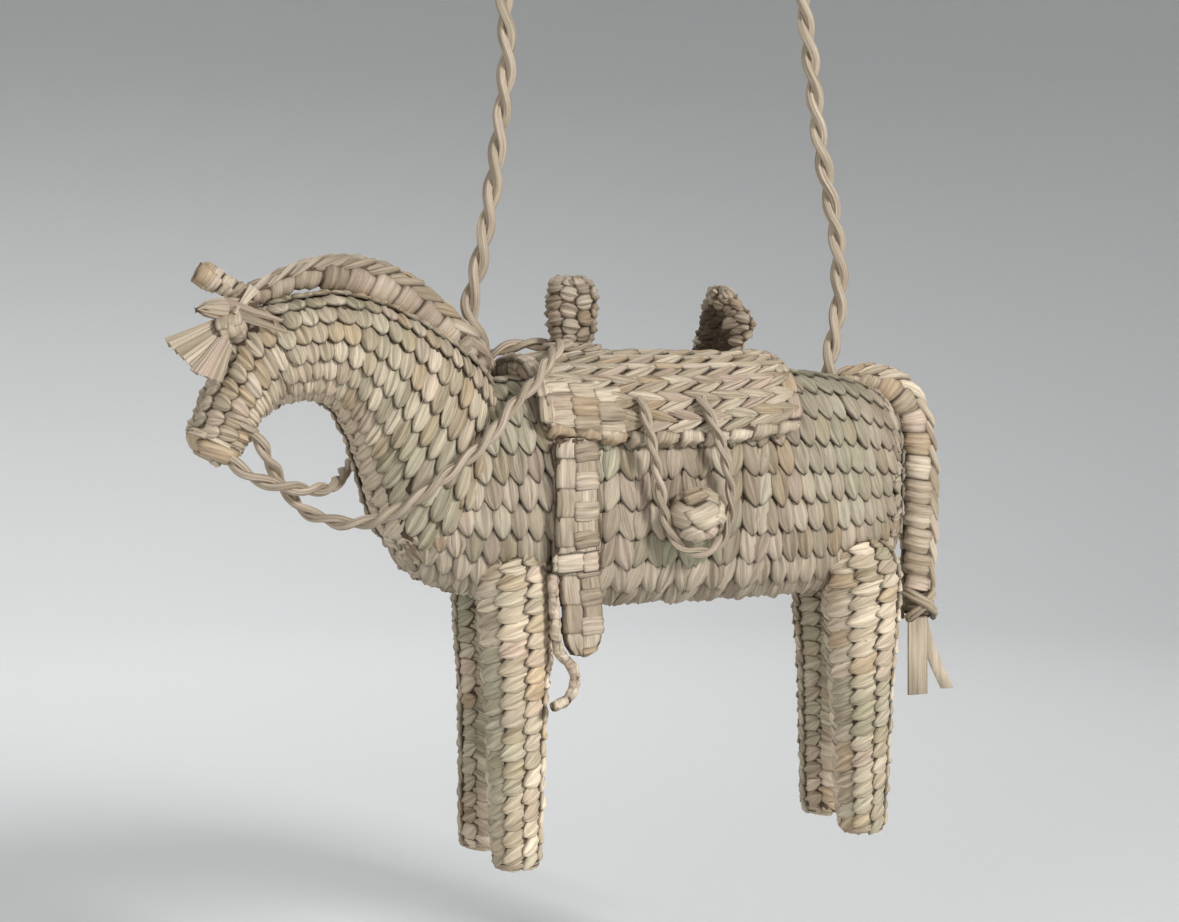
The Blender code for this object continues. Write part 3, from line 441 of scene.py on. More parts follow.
def spindle(start, end, radii, flat, count=20):
    """Rings along a straight roll that swells and tapers."""
    run = end - start
    across = run.cross(FAR).normalized()
    thick = run.cross(across).normalized()
    rings = []
    for share in (k / (count - 1) for k in range(count)):
        radius = float(np.interp(share, np.linspace(0, 1, len(radii)), radii))
        rings.append([
            start + run * share + across * math.cos(t) * radius + thick * math.sin(t) * radius * flat
            for t in turns_of(32)
        ])
    return rings


def ring_line(node, count=40):
    """Middle line of a node that is a closed ring."""
    points = points_of(node)
    hub = points.mean(axis=0)
    axes = np.linalg.svd(points - hub, full_matrices=False)[2]
    flat = (points - hub) @ axes.T
    turn = np.arctan2(flat[:, 1], flat[:, 0])
    line = []
    for place in turns_of(count):
        near = np.exp(3 * count / 4 * (np.cos(turn - place) - 1))
        line.append(Vector((points * near[:, None]).sum(axis=0) / near.sum()))
    return line


def saddle_lines(node, side, reach=.12):
    """Lines over the saddle from its hinge to its lower edge and round it: side 1 is the near flap."""
    tree = surface_of(node)
    low, high = corners(node)
    lines = []
    for x in np.linspace(low.x + .0010, high.x - .0010, 44):
        centre = Vector((x, HOME.y, SADDLE_AXIS))
        hits = []
        for degree in range(-84, 121):
            turn = math.radians(degree)
            out = Vector((0, -math.sin(turn) * side, math.cos(turn)))
            hit = tree.ray_cast(centre + out * reach, -out, reach)[0]
            if hit and (hit - centre).length > reach / 4:
                hits.append((hit, out))
        if len(hits) < 4:
            raise RuntimeError(node + " is missing at x = %.4f" % x)
        line = [hit for hit, out in hits]
        edge, out = hits[-1]
        down = (line[-1] - line[-2]).normalized()
        line += [
            edge + down * fall - out * tuck
            for fall, tuck in ((.0010, .0010), (.0014, .0030), (.0010, .0050), (-.0030, .0058))
        ]
        lines.append(even_steps(line, 48))
    return lines


# Leaves on their charts

class Leaves:
    """Leaves set out on a chart: place, lift, turn, size and tone of each."""

    def __init__(self, seed, chart):
        self.rows = []
        self.seed = seed
        self.chart = chart
        self.chance = random.Random(seed)

    def add(self, along, across, turn, width, length, height, lift=0.0, green=0.0, tone=None):
        """Sets out one leaf: its place, turn and size on the chart, and its lift, share of green and tone."""
        chance = self.chance
        # Random tones stop short of tone 1.0, which straw keeps for the painted shade in the cantle's hollow.
        tone = chance.random() * .965 if tone is None else tone
        patch = noise.noise(Vector((along * GREEN_PATCHES, across * GREEN_PATCHES, self.seed))) * 1.3
        patch += chance.uniform(-.25, .30)
        self.rows.append((
            along, across, lift, turn, width * chance.uniform(.93, 1.08), length * chance.uniform(.94, 1.07),
            height * chance.uniform(.85, 1.20), tone, green * min(max(patch + .25, 0), 1),
        ))

    def belt(self, along, width, parts, turn, overlap, height, shift=.5, **more):
        """Sets out leaves end to end round the chart."""
        girth = self.chart.girth
        for part in range(parts):
            self.add(along, (part + shift) / parts * girth, turn, width, girth / parts * overlap, height, **more)

    def spokes(self, along, length, parts, turn, overlap, height, shift=.5, **more):
        """Sets out leaves side by side round the chart."""
        girth = self.chart.girth
        for part in range(parts):
            self.add(along, (part + shift) / parts * girth, turn, girth / parts * overlap, length, height, **more)

    def points(self):
        """The leaves as loose points that hold their sizes."""
        table = np.array(self.rows)
        mesh = bpy.data.meshes.new(self.chart.name + "_points")
        mesh.from_pydata(table[:, :3].tolist(), [], [])
        for label, columns in (("turn", 3), ("size", slice(4, 7)), ("tone", 7), ("green", 8)):
            note(mesh, label, table[:, columns])
        return show(mesh.name, mesh)


LEAF_KINDS = {
    # Tail and tip power and fullness, rise from tail to tip, rows of faces, and how square the ends stand.
    "lozenge": ((2.0, 1.45), (1.9, 1.05), .55, 7, 6.0),
    "oval": ((2.0, 1.4), (2.35, 1.38), .66, 7, 4.5),
    "block": ((9.0, 6.0), (9.0, 6.0), .10, 6, 9.0),
    "knob": ((2.6, 1.8), (2.6, 1.8), .20, 6, 3.5),
    "strand": ((2.0, 1.35), (2.0, 1.25), .40, 7, 5.0),
}
# Across a leaf: place, and height of its folds in three cuts of leaf.
LEAF_LANES = (-1.0, -.86, -.40, -.04, .36, .84, 1.0)
LEAF_FOLDS = (
    (0, .52, .78, .62, 1.0, .50, 0), (0, .58, .60, .98, .64, .66, 0), (0, .66, 1.0, .58, .80, .46, 0),
)


def leaf_shapes(kind):
    """Three closed leaves of a kind, of unit size, with their tips at +Y, made once."""
    label = "shapes_" + kind
    if label in bpy.data.collections:
        return bpy.data.collections[label]
    group = bpy.data.collections.new(label)
    bpy.context.scene.collection.children.link(group)
    tail, tip, rise, rows, square = LEAF_KINDS[kind]
    for number, folds in enumerate(LEAF_FOLDS):
        mesh = bmesh.new()
        sheet = mesh.loops.layers.uv.new("leaf")
        grid = []
        spots = {}
        for k in range(rows + 1):
            t = math.sin(QUARTER * (2 * k / rows - 1))
            power, full = tip if t > 0 else tail
            half = max(max(1 - abs(t) ** power, 0) ** (1 / full) * .5, .035)
            bow = (number - 1) * .05 * (1 - t * t)
            stand = max(1 - abs(t) ** square, 0) ** .5
            row = []
            for place, fold in zip(LEAF_LANES, folds):
                vertex = mesh.verts.new((place * half + bow, t * .5, stand * fold - .5 + rise * t))
                spots[vertex] = (place * .5 + .5, t * .5 + .5)
                row.append(vertex)
            grid.append(row)
        for low, high in zip(grid, grid[1:]):
            for k in range(len(LEAF_LANES) - 1):
                mesh.faces.new((low[k], low[k + 1], high[k + 1], high[k]))
            mesh.faces.new((low[0], high[0], high[-1], low[-1]))
            for k in range(2, len(LEAF_LANES) - 2):
                mesh.edges.get((low[k], high[k])).smooth = False
        mesh.faces.new(list(reversed(grid[0])))
        mesh.faces.new(grid[-1])
        bmesh.ops.recalc_face_normals(mesh, faces=mesh.faces)
        for face in mesh.faces:
            face.smooth = True
            for corner in face.loops:
                corner[sheet].uv = spots[corner.vert]
        data = bpy.data.meshes.new("shape_%s_%d" % (kind, number))
        mesh.to_mesh(data)
        mesh.free()
        thing = bpy.data.objects.new(data.name, data)
        group.objects.link(thing)
        thing.hide_render = True
    return group


def feed(tree, node, inputs):
    """Gives a node's sockets their values or links."""
    for key, value in inputs.items():
        if isinstance(value, bpy.types.NodeSocket):
            tree.links.new(value, node.inputs[key])
        else:
            node.inputs[key].default_value = value


def grow(tree, kind, inputs=(), **settings):
    """Adds a node to a tree and gives its outputs: settings are its properties."""
    made = tree.nodes.new(kind)
    for key, value in settings.items():
        setattr(made, key, value)
    feed(tree, made, dict(inputs))
    return made.outputs


def sums(tree, operation, *values):
    """Result of a Math node."""
    return grow(tree, "ShaderNodeMath", enumerate(values), operation=operation)[0]


def vectors(tree, operation, first, second):
    """Result of a Vector Math node."""
    inputs = {0: first, "Scale" if operation == "SCALE" else 1: second}
    return grow(tree, "ShaderNodeVectorMath", inputs, operation=operation)[0]


def new_tree(name, **inputs):
    """A Geometry Nodes tree, the sockets of its named inputs, and its end."""
    tree = bpy.data.node_groups.new(name, "GeometryNodeTree")
    for label, kind in {"Geometry": "Geometry", **inputs}.items():
        tree.interface.new_socket(label, in_out="INPUT", socket_type="NodeSocket" + kind)
    tree.interface.new_socket("Geometry", in_out="OUTPUT", socket_type="NodeSocketGeometry")
    return tree, grow(tree, "NodeGroupInput"), tree.nodes.new("NodeGroupOutput")


def weave_tree(name="Woven leaves"):
    """Tree that sets leaves on their points and carries them from the chart onto the surface."""
    if name in bpy.data.node_groups:
        return bpy.data.node_groups[name]
    tree, given, end = new_tree(
        name, Leaves="Collection", Chart="Object", Finish="Material", Wobble="Float", Seed="Int")

    def named(label, kind="FLOAT_VECTOR"):
        return grow(tree, "GeometryNodeInputNamedAttribute", {"Name": label}, data_type=kind)[0]

    def drawn(low, high, first, kind):
        inputs = {first: low, first + 1: high, "Seed": given["Seed"]}
        return grow(tree, "FunctionNodeRandomValue", inputs, data_type=kind)

    leaf = grow(tree, "GeometryNodeCollectionInfo", {
        "Collection": given["Leaves"], "Separate Children": True, "Reset Children": True,
    })[0]
    cut = drawn(0, len(LEAF_FOLDS) - 1, 4, "INT")[2]
    sway = sums(tree, "MULTIPLY", drawn(-1.0, 1.0, 2, "FLOAT")[1], given["Wobble"])
    angle = sums(tree, "ADD", named("turn", "FLOAT"), sway)
    turned = grow(tree, "FunctionNodeEulerToRotation", {0: grow(tree, "ShaderNodeCombineXYZ", {"Z": angle})[0]})[0]
    placed = grow(tree, "GeometryNodeInstanceOnPoints", {
        "Points": given["Geometry"], "Instance": leaf, "Pick Instance": True, "Instance Index": cut,
        "Rotation": turned, "Scale": named("size"),
    })[0]
    real = grow(tree, "GeometryNodeRealizeInstances", {"Geometry": placed})[0]
    position = grow(tree, "GeometryNodeInputPosition")[0]
    parts = grow(tree, "ShaderNodeSeparateXYZ", {0: position})
    spot = grow(tree, "ShaderNodeCombineXYZ", {"X": parts["X"], "Y": parts["Y"]})[0]
    chart = grow(tree, "GeometryNodeObjectInfo", {"Object": given["Chart"]})["Geometry"]
    place, outward = (
        grow(tree, "GeometryNodeSampleUVSurface", {
            0: chart, 1: value, 2: named("flat"), 3: spot,
        }, data_type="FLOAT_VECTOR")[0] for value in (position, named("outward"))
    )
    there = vectors(tree, "ADD", place, vectors(tree, "SCALE", outward, parts["Z"]))
    moved = grow(tree, "GeometryNodeSetPosition", {"Geometry": real, "Position": there})[0]
    feed(tree, end, {0: grow(tree, "GeometryNodeSetMaterial", {"Geometry": moved, "Material": given["Finish"]})[0]})
    return tree


def cord_tree(name="Twisted cord"):
    """Tree that lays two folded strands round each other along a line."""
    if name in bpy.data.node_groups:
        return bpy.data.node_groups[name]
    tree, given, end = new_tree(name, Step="Float", Lay="Float", Offset="Float", Strand="Float", Finish="Material")

    def keep(geometry, label, value):
        return grow(tree, "GeometryNodeStoreNamedAttribute", {
            "Geometry": geometry, "Name": label, "Value": value,
        }, data_type="FLOAT", domain="POINT")[0]

    line = grow(tree, "GeometryNodeMeshToCurve", {"Mesh": given["Geometry"]})[0]
    even = grow(tree, "GeometryNodeResampleCurve", {"Curve": line, "Length": given["Step"]}, mode="LENGTH")[0]
    run = grow(tree, "GeometryNodeSplineParameter")["Length"]
    kept = keep(even, "along", run)
    across = grow(tree, "GeometryNodeInputNormal")[0]
    third = vectors(tree, "CROSS_PRODUCT", grow(tree, "GeometryNodeInputTangent")[0], across)
    turns = sums(tree, "DIVIDE", run, given["Lay"])
    ring = grow(tree, "GeometryNodeCurvePrimitiveCircle", {"Resolution": 15, "Radius": given["Strand"]})[0]
    share = grow(tree, "GeometryNodeSplineParameter")["Factor"]
    ring = keep(ring, "around", share)
    crest = sums(tree, "SINE", sums(tree, "MULTIPLY", share, 10 * math.pi))
    fold = sums(tree, "MULTIPLY_ADD", crest, .17, 1.0)
    folded = vectors(tree, "SCALE", grow(tree, "GeometryNodeInputPosition")[0], fold)
    ring = grow(tree, "GeometryNodeSetPosition", {"Geometry": ring, "Position": folded})[0]
    joined = tree.nodes.new("GeometryNodeJoinGeometry")
    for strand in (0.0, 0.5):
        angle = sums(tree, "MULTIPLY", sums(tree, "ADD", turns, strand), 2 * math.pi)
        one = vectors(tree, "SCALE", across, sums(tree, "COSINE", angle))
        two = vectors(tree, "SCALE", third, sums(tree, "SINE", angle))
        away = vectors(tree, "SCALE", vectors(tree, "ADD", one, two), given["Offset"])
        wound = grow(tree, "GeometryNodeSetPosition", {"Geometry": kept, "Offset": away})[0]
        feed(tree, joined, {0: grow(tree, "GeometryNodeCurveToMesh", {
            "Curve": keep(wound, "tone", .35 + strand * .6), "Profile Curve": ring, "Fill Caps": True,
        })[0]})
    smooth = grow(tree, "GeometryNodeSetShadeSmooth", {"Geometry": joined.outputs[0]})[0]
    real = grow(tree, "GeometryNodeRealizeInstances", {"Geometry": smooth})[0]
    feed(tree, end, {0: grow(tree, "GeometryNodeSetMaterial", {"Geometry": real, "Material": given["Finish"]})[0]})
    return tree


def run_tree(thing, tree, values, name):
    """Runs a tree on an object and keeps the result as a plain mesh object."""
    modifier = thing.modifiers.new(tree.name, "NODES")
    modifier.node_group = tree
    for item in tree.interface.items_tree:
        if item.in_out == "INPUT" and item.name in values:
            modifier[item.identifier] = values[item.name]
    bpy.context.view_layer.update()
    seen = thing.evaluated_get(bpy.context.evaluated_depsgraph_get())
    mesh = bpy.data.meshes.new_from_object(seen)
    thing.modifiers.remove(modifier)
    bpy.data.objects.remove(thing)
    if not mesh.polygons:
        raise RuntimeError(name + " came out empty")
    mesh.calc_loop_triangles()
    points = np.array([v.co for v in mesh.vertices], float)
    a, b, c = points[[tuple(t.vertices) for t in mesh.loop_triangles]].transpose(1, 0, 2)
    if float((a * np.cross(b, c)).sum()) < 0:
        mesh.flip_normals()
    mesh.name = name
    return show(name, mesh)


def weave(leaves, kind, finish, wobble=.06):
    """Leaves carried from their chart onto its surface, as one mesh."""
    return run_tree(leaves.points(), weave_tree(), {
        "Leaves": leaf_shapes(kind), "Chart": leaves.chart.thing, "Finish": finish, "Wobble": wobble, "Seed": 3,
    }, leaves.chart.name + "_leaves")


def twist(node, route, thickness, lay, step=.0016, closed=False):
    """A two-strand twisted cord along a route, as one mesh."""
    mesh = bpy.data.meshes.new(node + "_line")
    edges = [(k, k + 1) for k in range(len(route) - 1)]
    if closed:
        edges.append((len(route) - 1, 0))
        lay = fit(sum((route[k] - route[k - 1]).length for k in range(len(route))), lay)[1]
    mesh.from_pydata([tuple(p) for p in route], edges, [])
    return run_tree(show(mesh.name, mesh), cord_tree(), {
        "Step": step, "Lay": -lay, "Offset": thickness * STRAND_OFFSET, "Strand": thickness * STRAND_RADIUS,
        "Finish": cord_straw(),
    }, node + "_twist")


def merged(node):
    """A copy of a frame node's mesh with its doubled points merged."""
    mesh = bmesh.new()
    mesh.from_mesh(frame["nodes"][node].data)
    bmesh.ops.remove_doubles(mesh, verts=mesh.verts, dist=1e-5)
    return mesh


def made_of(mesh, name, finish):
    """An object of one finish from a mesh in the making."""
    data = bpy.data.meshes.new(name)
    mesh.to_mesh(data)
    mesh.free()
    data.materials.append(finish)
    data.polygons.foreach_set("material_index", [0] * len(data.polygons))
    return show(name, data)


def core(node, depth, finish=None):
    """The body under the leaves: a copy of a node drawn in by the given depth, coloured as painted gap shade unless
    another finish is given.
    """
    mesh = merged(node)
    mesh.normal_update()
    for vertex, normal in [(v, v.normal.copy()) for v in mesh.verts]:
        vertex.co -= normal * depth
    return made_of(mesh, node + "_core", finish or gap_shade_finish())


def loft(rings):
    """The body under the leaves, coloured as painted gap shade: closed, through rings of points."""
    rings = np.asarray([[tuple(p) for p in ring] for ring in rings])
    rows, lanes = rings.shape[:2]
    mesh = bmesh.new()
    spots = [mesh.verts.new(p) for p in rings.reshape(-1, 3)]
    ends = [range(lanes), range((rows - 1) * lanes, rows * lanes)]
    for face in grid_faces(rows, lanes, closed=True) + ends:
        mesh.faces.new([spots[k] for k in face]).smooth = True
    bmesh.ops.recalc_face_normals(mesh, faces=mesh.faces)
    return made_of(mesh, "core", gap_shade_finish())


def cut_strip(node, tone):
    """A cut strip of leaf: a merged copy of its node with the fibres along its longest side."""
    mesh = merged(node)
    low, high = corners(node)
    size = high - low
    order = sorted(range(3), key=lambda k: size[k])
    sheet = mesh.loops.layers.uv.new("leaf")
    for face in mesh.faces:
        face.smooth = True
        for corner in face.loops:
            share = corner.vert.co - low
            corner[sheet].uv = [.10 + .80 * share[order[k]] / size[order[k]] for k in (1, 2)]
    thing = made_of(mesh, node + "_strip", pale_straw())
    for label, value in (("tone", tone), ("green", 0.0)):
        note(thing.data, label, [value] * len(thing.data.vertices))
    return thing


def fan(roots, tips, width, finish, seed, bend=.0012, spread=(.29, .51), steps=5):
    """Cut strips side by side that spread from their roots to their tips."""
    chance = random.Random(seed)
    mesh = bmesh.new()
    sheet = mesh.loops.layers.uv.new("leaf")
    spots = [0, .5, 1, 1, .5, 0]
    tones = []
    for number, (root, tip) in enumerate(zip(roots, tips)):
        run = tip - root
        step = number % 2 - .5
        across = run.cross(Vector((.35, 1, .1))).normalized()
        face_out = run.cross(across).normalized()
        tone = chance.random()
        wide = width * chance.uniform(.8, 1.15)
        grid = []
        for share in (k / steps for k in range(steps + 1)):
            centre = root + run * share + face_out * (bend * math.sin(share * 2.4) + step * .0008)
            half = across * wide * (spread[0] + (spread[1] - spread[0]) * share)
            grid.append([mesh.verts.new(spot) for spot in (
                centre - half, centre + face_out * .0005, centre + half,
                centre + half - face_out * .0004, centre - face_out * .0001, centre - half - face_out * .0004,
            )])
            tones += [tone] * len(spots)
        for k, (low, high) in enumerate(zip(grid, grid[1:])):
            for j in range(len(spots)):
                after = (j + 1) % len(spots)
                face = mesh.faces.new((low[j], low[after], high[after], high[j]))
                places = ((spots[j], k), (spots[after], k), (spots[after], k + 1), (spots[j], k + 1))
                for corner, (u, v) in zip(face.loops, places):
                    corner[sheet].uv = (.1 + u * .8, .2 + v / steps * .6)
        mesh.faces.new(grid[0])
        mesh.faces.new(grid[-1])
    bmesh.ops.recalc_face_normals(mesh, faces=mesh.faces)
    thing = made_of(mesh, "fan", finish)
    note(thing.data, "tone", tones)
    note(thing.data, "green", [0.0] * len(tones))
    return thing


def dress(node, body, *things, ending="_weave"):
    """Joins meshes into one piece and hangs it on its body in place of its node."""
    piece = things[0]
    if len(things) > 1:
        with bpy.context.temp_override(
            active_object=piece, object=piece, selected_objects=things, selected_editable_objects=things,
        ):
            bpy.ops.object.join()
    piece.name = piece.data.name = node + ending
    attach(piece, body)
    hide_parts(node)


# Finishes

def horse_look():
    """The sizes and colours that a user may change."""
    return bpy.context.scene.horse_look


def shade(name):
    """An empty material with its main shader."""
    finish = bpy.data.materials.new(name)
    finish.use_nodes = True
    tree = finish.node_tree
    tree.nodes.clear()
    surface = tree.nodes.new("ShaderNodeBsdfPrincipled")
    feed(tree, tree.nodes.new("ShaderNodeOutputMaterial"), {0: surface.outputs[0]})
    return finish, tree, surface


def ramp_of(tree, value, stops):
    """Result of a colour ramp with the given stops."""
    ramp = tree.nodes.new("ShaderNodeValToRGB")
    while len(ramp.color_ramp.elements) < len(stops):
        ramp.color_ramp.elements.new(.5)
    for element, (place, colour) in zip(ramp.color_ramp.elements, stops):
        element.position = place
        element.color = (*colour, 1.0)
    feed(tree, ramp, {0: value})
    return ramp.outputs[0]


def leaf_finish(name, stops, fibres=9.0, cord=False):
    """Dry palm leaf: each leaf its own tone, fine fibres along it, and painted shade towards its edges and ends,
    where it slips under its neighbours.
    """
    if name in bpy.data.materials:
        return bpy.data.materials[name]
    finish, tree, surface = shade(name)

    def read(label):
        return grow(tree, "ShaderNodeAttribute", attribute_name=label)["Fac"]

    def fibrous(place, **more):
        return grow(tree, "ShaderNodeTexNoise", {
            "Vector": place, "W": shift, "Scale": 1.7, **more}, noise_dimensions="4D")["Fac"]

    tone = read("tone")
    shift = sums(tree, "MULTIPLY", tone, 37.0)
    greener = grow(tree, "ShaderNodeMix", {
        0: read("green"), 6: ramp_of(tree, tone, stops), 7: (*horse_look().green, 1.0),
    }, data_type="RGBA")[2]
    if cord:
        turn = sums(tree, "MULTIPLY", read("around"), 2 * math.pi)
        place = grow(tree, "ShaderNodeCombineXYZ", {
            0: sums(tree, "SINE", turn), 1: sums(tree, "COSINE", turn),
            2: sums(tree, "MULTIPLY", read("along"), 60.0),
        })[0]
        mapped = vectors(tree, "MULTIPLY", place, (3.2, 3.2, .8))
    else:
        sheet = grow(tree, "ShaderNodeUVMap", uv_map="leaf")[0]
        mapped = vectors(tree, "MULTIPLY", sheet, (fibres, .9, 1.0))
    fine = fibrous(mapped, Detail=4.0, Roughness=.65)
    pleat = fibrous(vectors(tree, "MULTIPLY", mapped, (.42, .42, .5)), Detail=1.0)
    fibre = grow(tree, "ShaderNodeMix", {0: .5, 2: pleat, 3: fine}, data_type="FLOAT")[0]
    streak = ramp_of(tree, fibre, (
        (.30, (.28, .24, .20)), (.41, (.70, .67, .63)), (.53, (1.0, .99, .98)), (.66, (1.30, 1.28, 1.24)),
    ))
    colour = grow(tree, "ShaderNodeMix", {0: 1.0, 6: greener, 7: streak}, data_type="RGBA", blend_type="MULTIPLY")[2]
    if not cord:
        # Painted shade: each leaf darkens towards its edges and ends, where it slips under its neighbours.
        parts = grow(tree, "ShaderNodeSeparateXYZ", {0: sheet})
        tuck_shade = []
        for axis, soft in ((0, .74), (1, .78)):
            far = sums(tree, "ABSOLUTE", sums(tree, "SUBTRACT", parts[axis], .5))
            tuck_shade.append(grow(tree, "ShaderNodeMapRange", {
                "Value": far, "From Min": soft * .5, "From Max": .5, "To Min": 1.0, "To Max": .24,
            })[0])
        colour = vectors(tree, "SCALE", colour, sums(tree, "MULTIPLY", *tuck_shade))
    feed(tree, surface, {
        "Base Color": colour, "Specular IOR Level": .40,
        "Roughness": grow(tree, "ShaderNodeMapRange", {
            "Value": fibre, "From Min": .3, "From Max": .7, "To Min": .76, "To Max": .48})[0],
        "Normal": grow(tree, "ShaderNodeBump", {"Strength": .85, "Distance": .0010, "Height": fibre})[0],
    })
    return finish


def gap_shade_finish(name="dark_straw_gaps"):
    """Straw that shows between the leaves, coloured far darker than the leaves as painted shade in the gaps."""
    if name in bpy.data.materials:
        return bpy.data.materials[name]
    finish, tree, surface = shade(name)
    place = grow(tree, "ShaderNodeTexCoord")["Object"]
    grain = grow(tree, "ShaderNodeTexNoise", {"Vector": place, "Scale": 420.0, "Detail": 5.0})["Fac"]
    painted_shade = tuple(horse_look().painted_shade)
    pale = tuple(min(c * 2.6, 1.0) for c in painted_shade)
    feed(tree, surface, {
        "Base Color": ramp_of(tree, grain, ((.35, painted_shade), (.70, pale))), "Roughness": .85,
        "Normal": grow(tree, "ShaderNodeBump", {"Strength": .5, "Distance": .0008, "Height": grain})[0],
    })
    return finish


def straw(tone_and_light_level=1.0):
    """Finish of the woven leaves, darker or paler by tone_and_light_level: partly each piece's own tone, partly
    painted light and shade for how brightly that piece is lit.
    """
    look = horse_look()
    tan, cream, pink, gold, painted_shade = (
        tuple(min(c * tone_and_light_level, 1.0) for c in colour)
        for colour in (look.tan, look.cream, look.pink, look.gold, look.painted_shade)
    )
    return leaf_finish("woven_straw_%d" % round(tone_and_light_level * 100), (
        (.00, tan), (.28, cream), (.42, tan), (.56, pink), (.70, cream), (.80, tan), (.88, gold), (.97, gold),
        # Tone 1.0 is painted shade, for the leaves inside the cantle's hollow.
        (1.0, tuple(c * 2 for c in painted_shade)),
    ))


def pale_straw():
    """Finish of cut strips and wraps."""
    look = horse_look()
    return leaf_finish("pale_strips", (
        (.00, look.cream), (.35, look.tan), (.65, look.cream), (.90, look.pink),
    ), fibres=7.0)


def cord_straw():
    """Finish of the twisted cords."""
    look = horse_look()
    tan, cream, pink = (tuple(c * .9 for c in colour) for colour in (look.tan, look.cream, look.pink))
    return leaf_finish("corded_straw", ((.2, tan), (.5, cream), (.8, pink)), cord=True)


# Sizes and colours

def colour_of(name, description, default):
    """A colour that a user may change."""
    return bpy.props.FloatVectorProperty(
        name=name, description=description, default=default, subtype="COLOR", size=3, min=0, max=1)


def length_of(name, description, default):
    """A length that a user may change."""
    return bpy.props.FloatProperty(name=name, description=description, default=default, unit="LENGTH")


class HorseBagLook(bpy.types.PropertyGroup):
    """Sizes and colours of the leaves and cords."""

    tan: colour_of("Tan leaf", "Main colour of the leaves", (.43, .35, .25))
    cream: colour_of("Cream leaf", "Palest leaves and cut ends", (.66, .565, .435))
    pink: colour_of("Pink leaf", "Leaves with a pink cast", (.53, .415, .325))
    gold: colour_of("Gold leaf", "Warm ripe leaves", (.48, .368, .245))
    green: colour_of("Green leaf", "Leaves cut green", (.355, .362, .250))
    # Painted shade: colour of the body that shows between the leaves; doubled, it is also the painted shade in the
    # cantle's hollow.
    painted_shade: colour_of("Dark straw", "Straw between the leaves", (.060, .040, .024))
    body_courses: bpy.props.IntProperty(
        name="Body courses", description="Courses of leaves round the barrel", default=22, min=8, max=30)
    body_leaf: length_of("Body leaf", "Spacing of the leaves along the barrel", .0080)
    flank_leaf: length_of("Flank leaf", "Spacing of the paired leaves on the flank", .0078)
    leg_leaf: length_of("Leg leaf", "Spacing of the leaves up the legs", .0071)
    leaf_height: length_of("Leaf height", "How far a leaf stands up from its edges", .0021)
    strap_thickness: length_of("Strap", "Thickness of the carrying strap", .008)
    rein_thickness: length_of("Reins", "Thickness of the reins", .0058)
    loop_thickness: length_of("Closing loop", "Thickness of the closing loop", .0048)


class HorseBagStage(bpy.types.PropertyGroup):
    """Colour of the floor and wall, and the horse's height over the floor."""

    floor: colour_of("Floor", "Colour of floor and wall", (.78, .785, .785))
    drop: length_of("Drop", "Height at which the horse hangs over the floor", .09)


class HORSEBAG_OT_cords(bpy.types.Operator):
    """Twists the carrying strap, the reins and the closing loop"""

    bl_idname = "horsebag.cords"
    bl_label = "Cords"

    def execute(self, context):
        look = context.scene.horse_look
        for name, points, thickness, lay in (
            ("strap", STRAP_ROUTE, look.strap_thickness, .033),
            ("rein_near", NEAR_REIN_ROUTE, look.rein_thickness, .026),
            ("rein_far", FAR_REIN_ROUTE, look.rein_thickness, .026),
            ("closure_loop", LOOP_ROUTE, look.loop_thickness, .022),
        ):
            route = smooth_route([at_home(*p) for p in points])
            piece = twist(name, route, thickness, lay)
            nodes = [name]
            if name.startswith("rein"):
                nodes.append(name + "_end")
                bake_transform(piece)
            else:
                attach(piece, "lid" if name == "closure_loop" else "horse")
            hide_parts(*nodes)
        return {"FINISHED"}


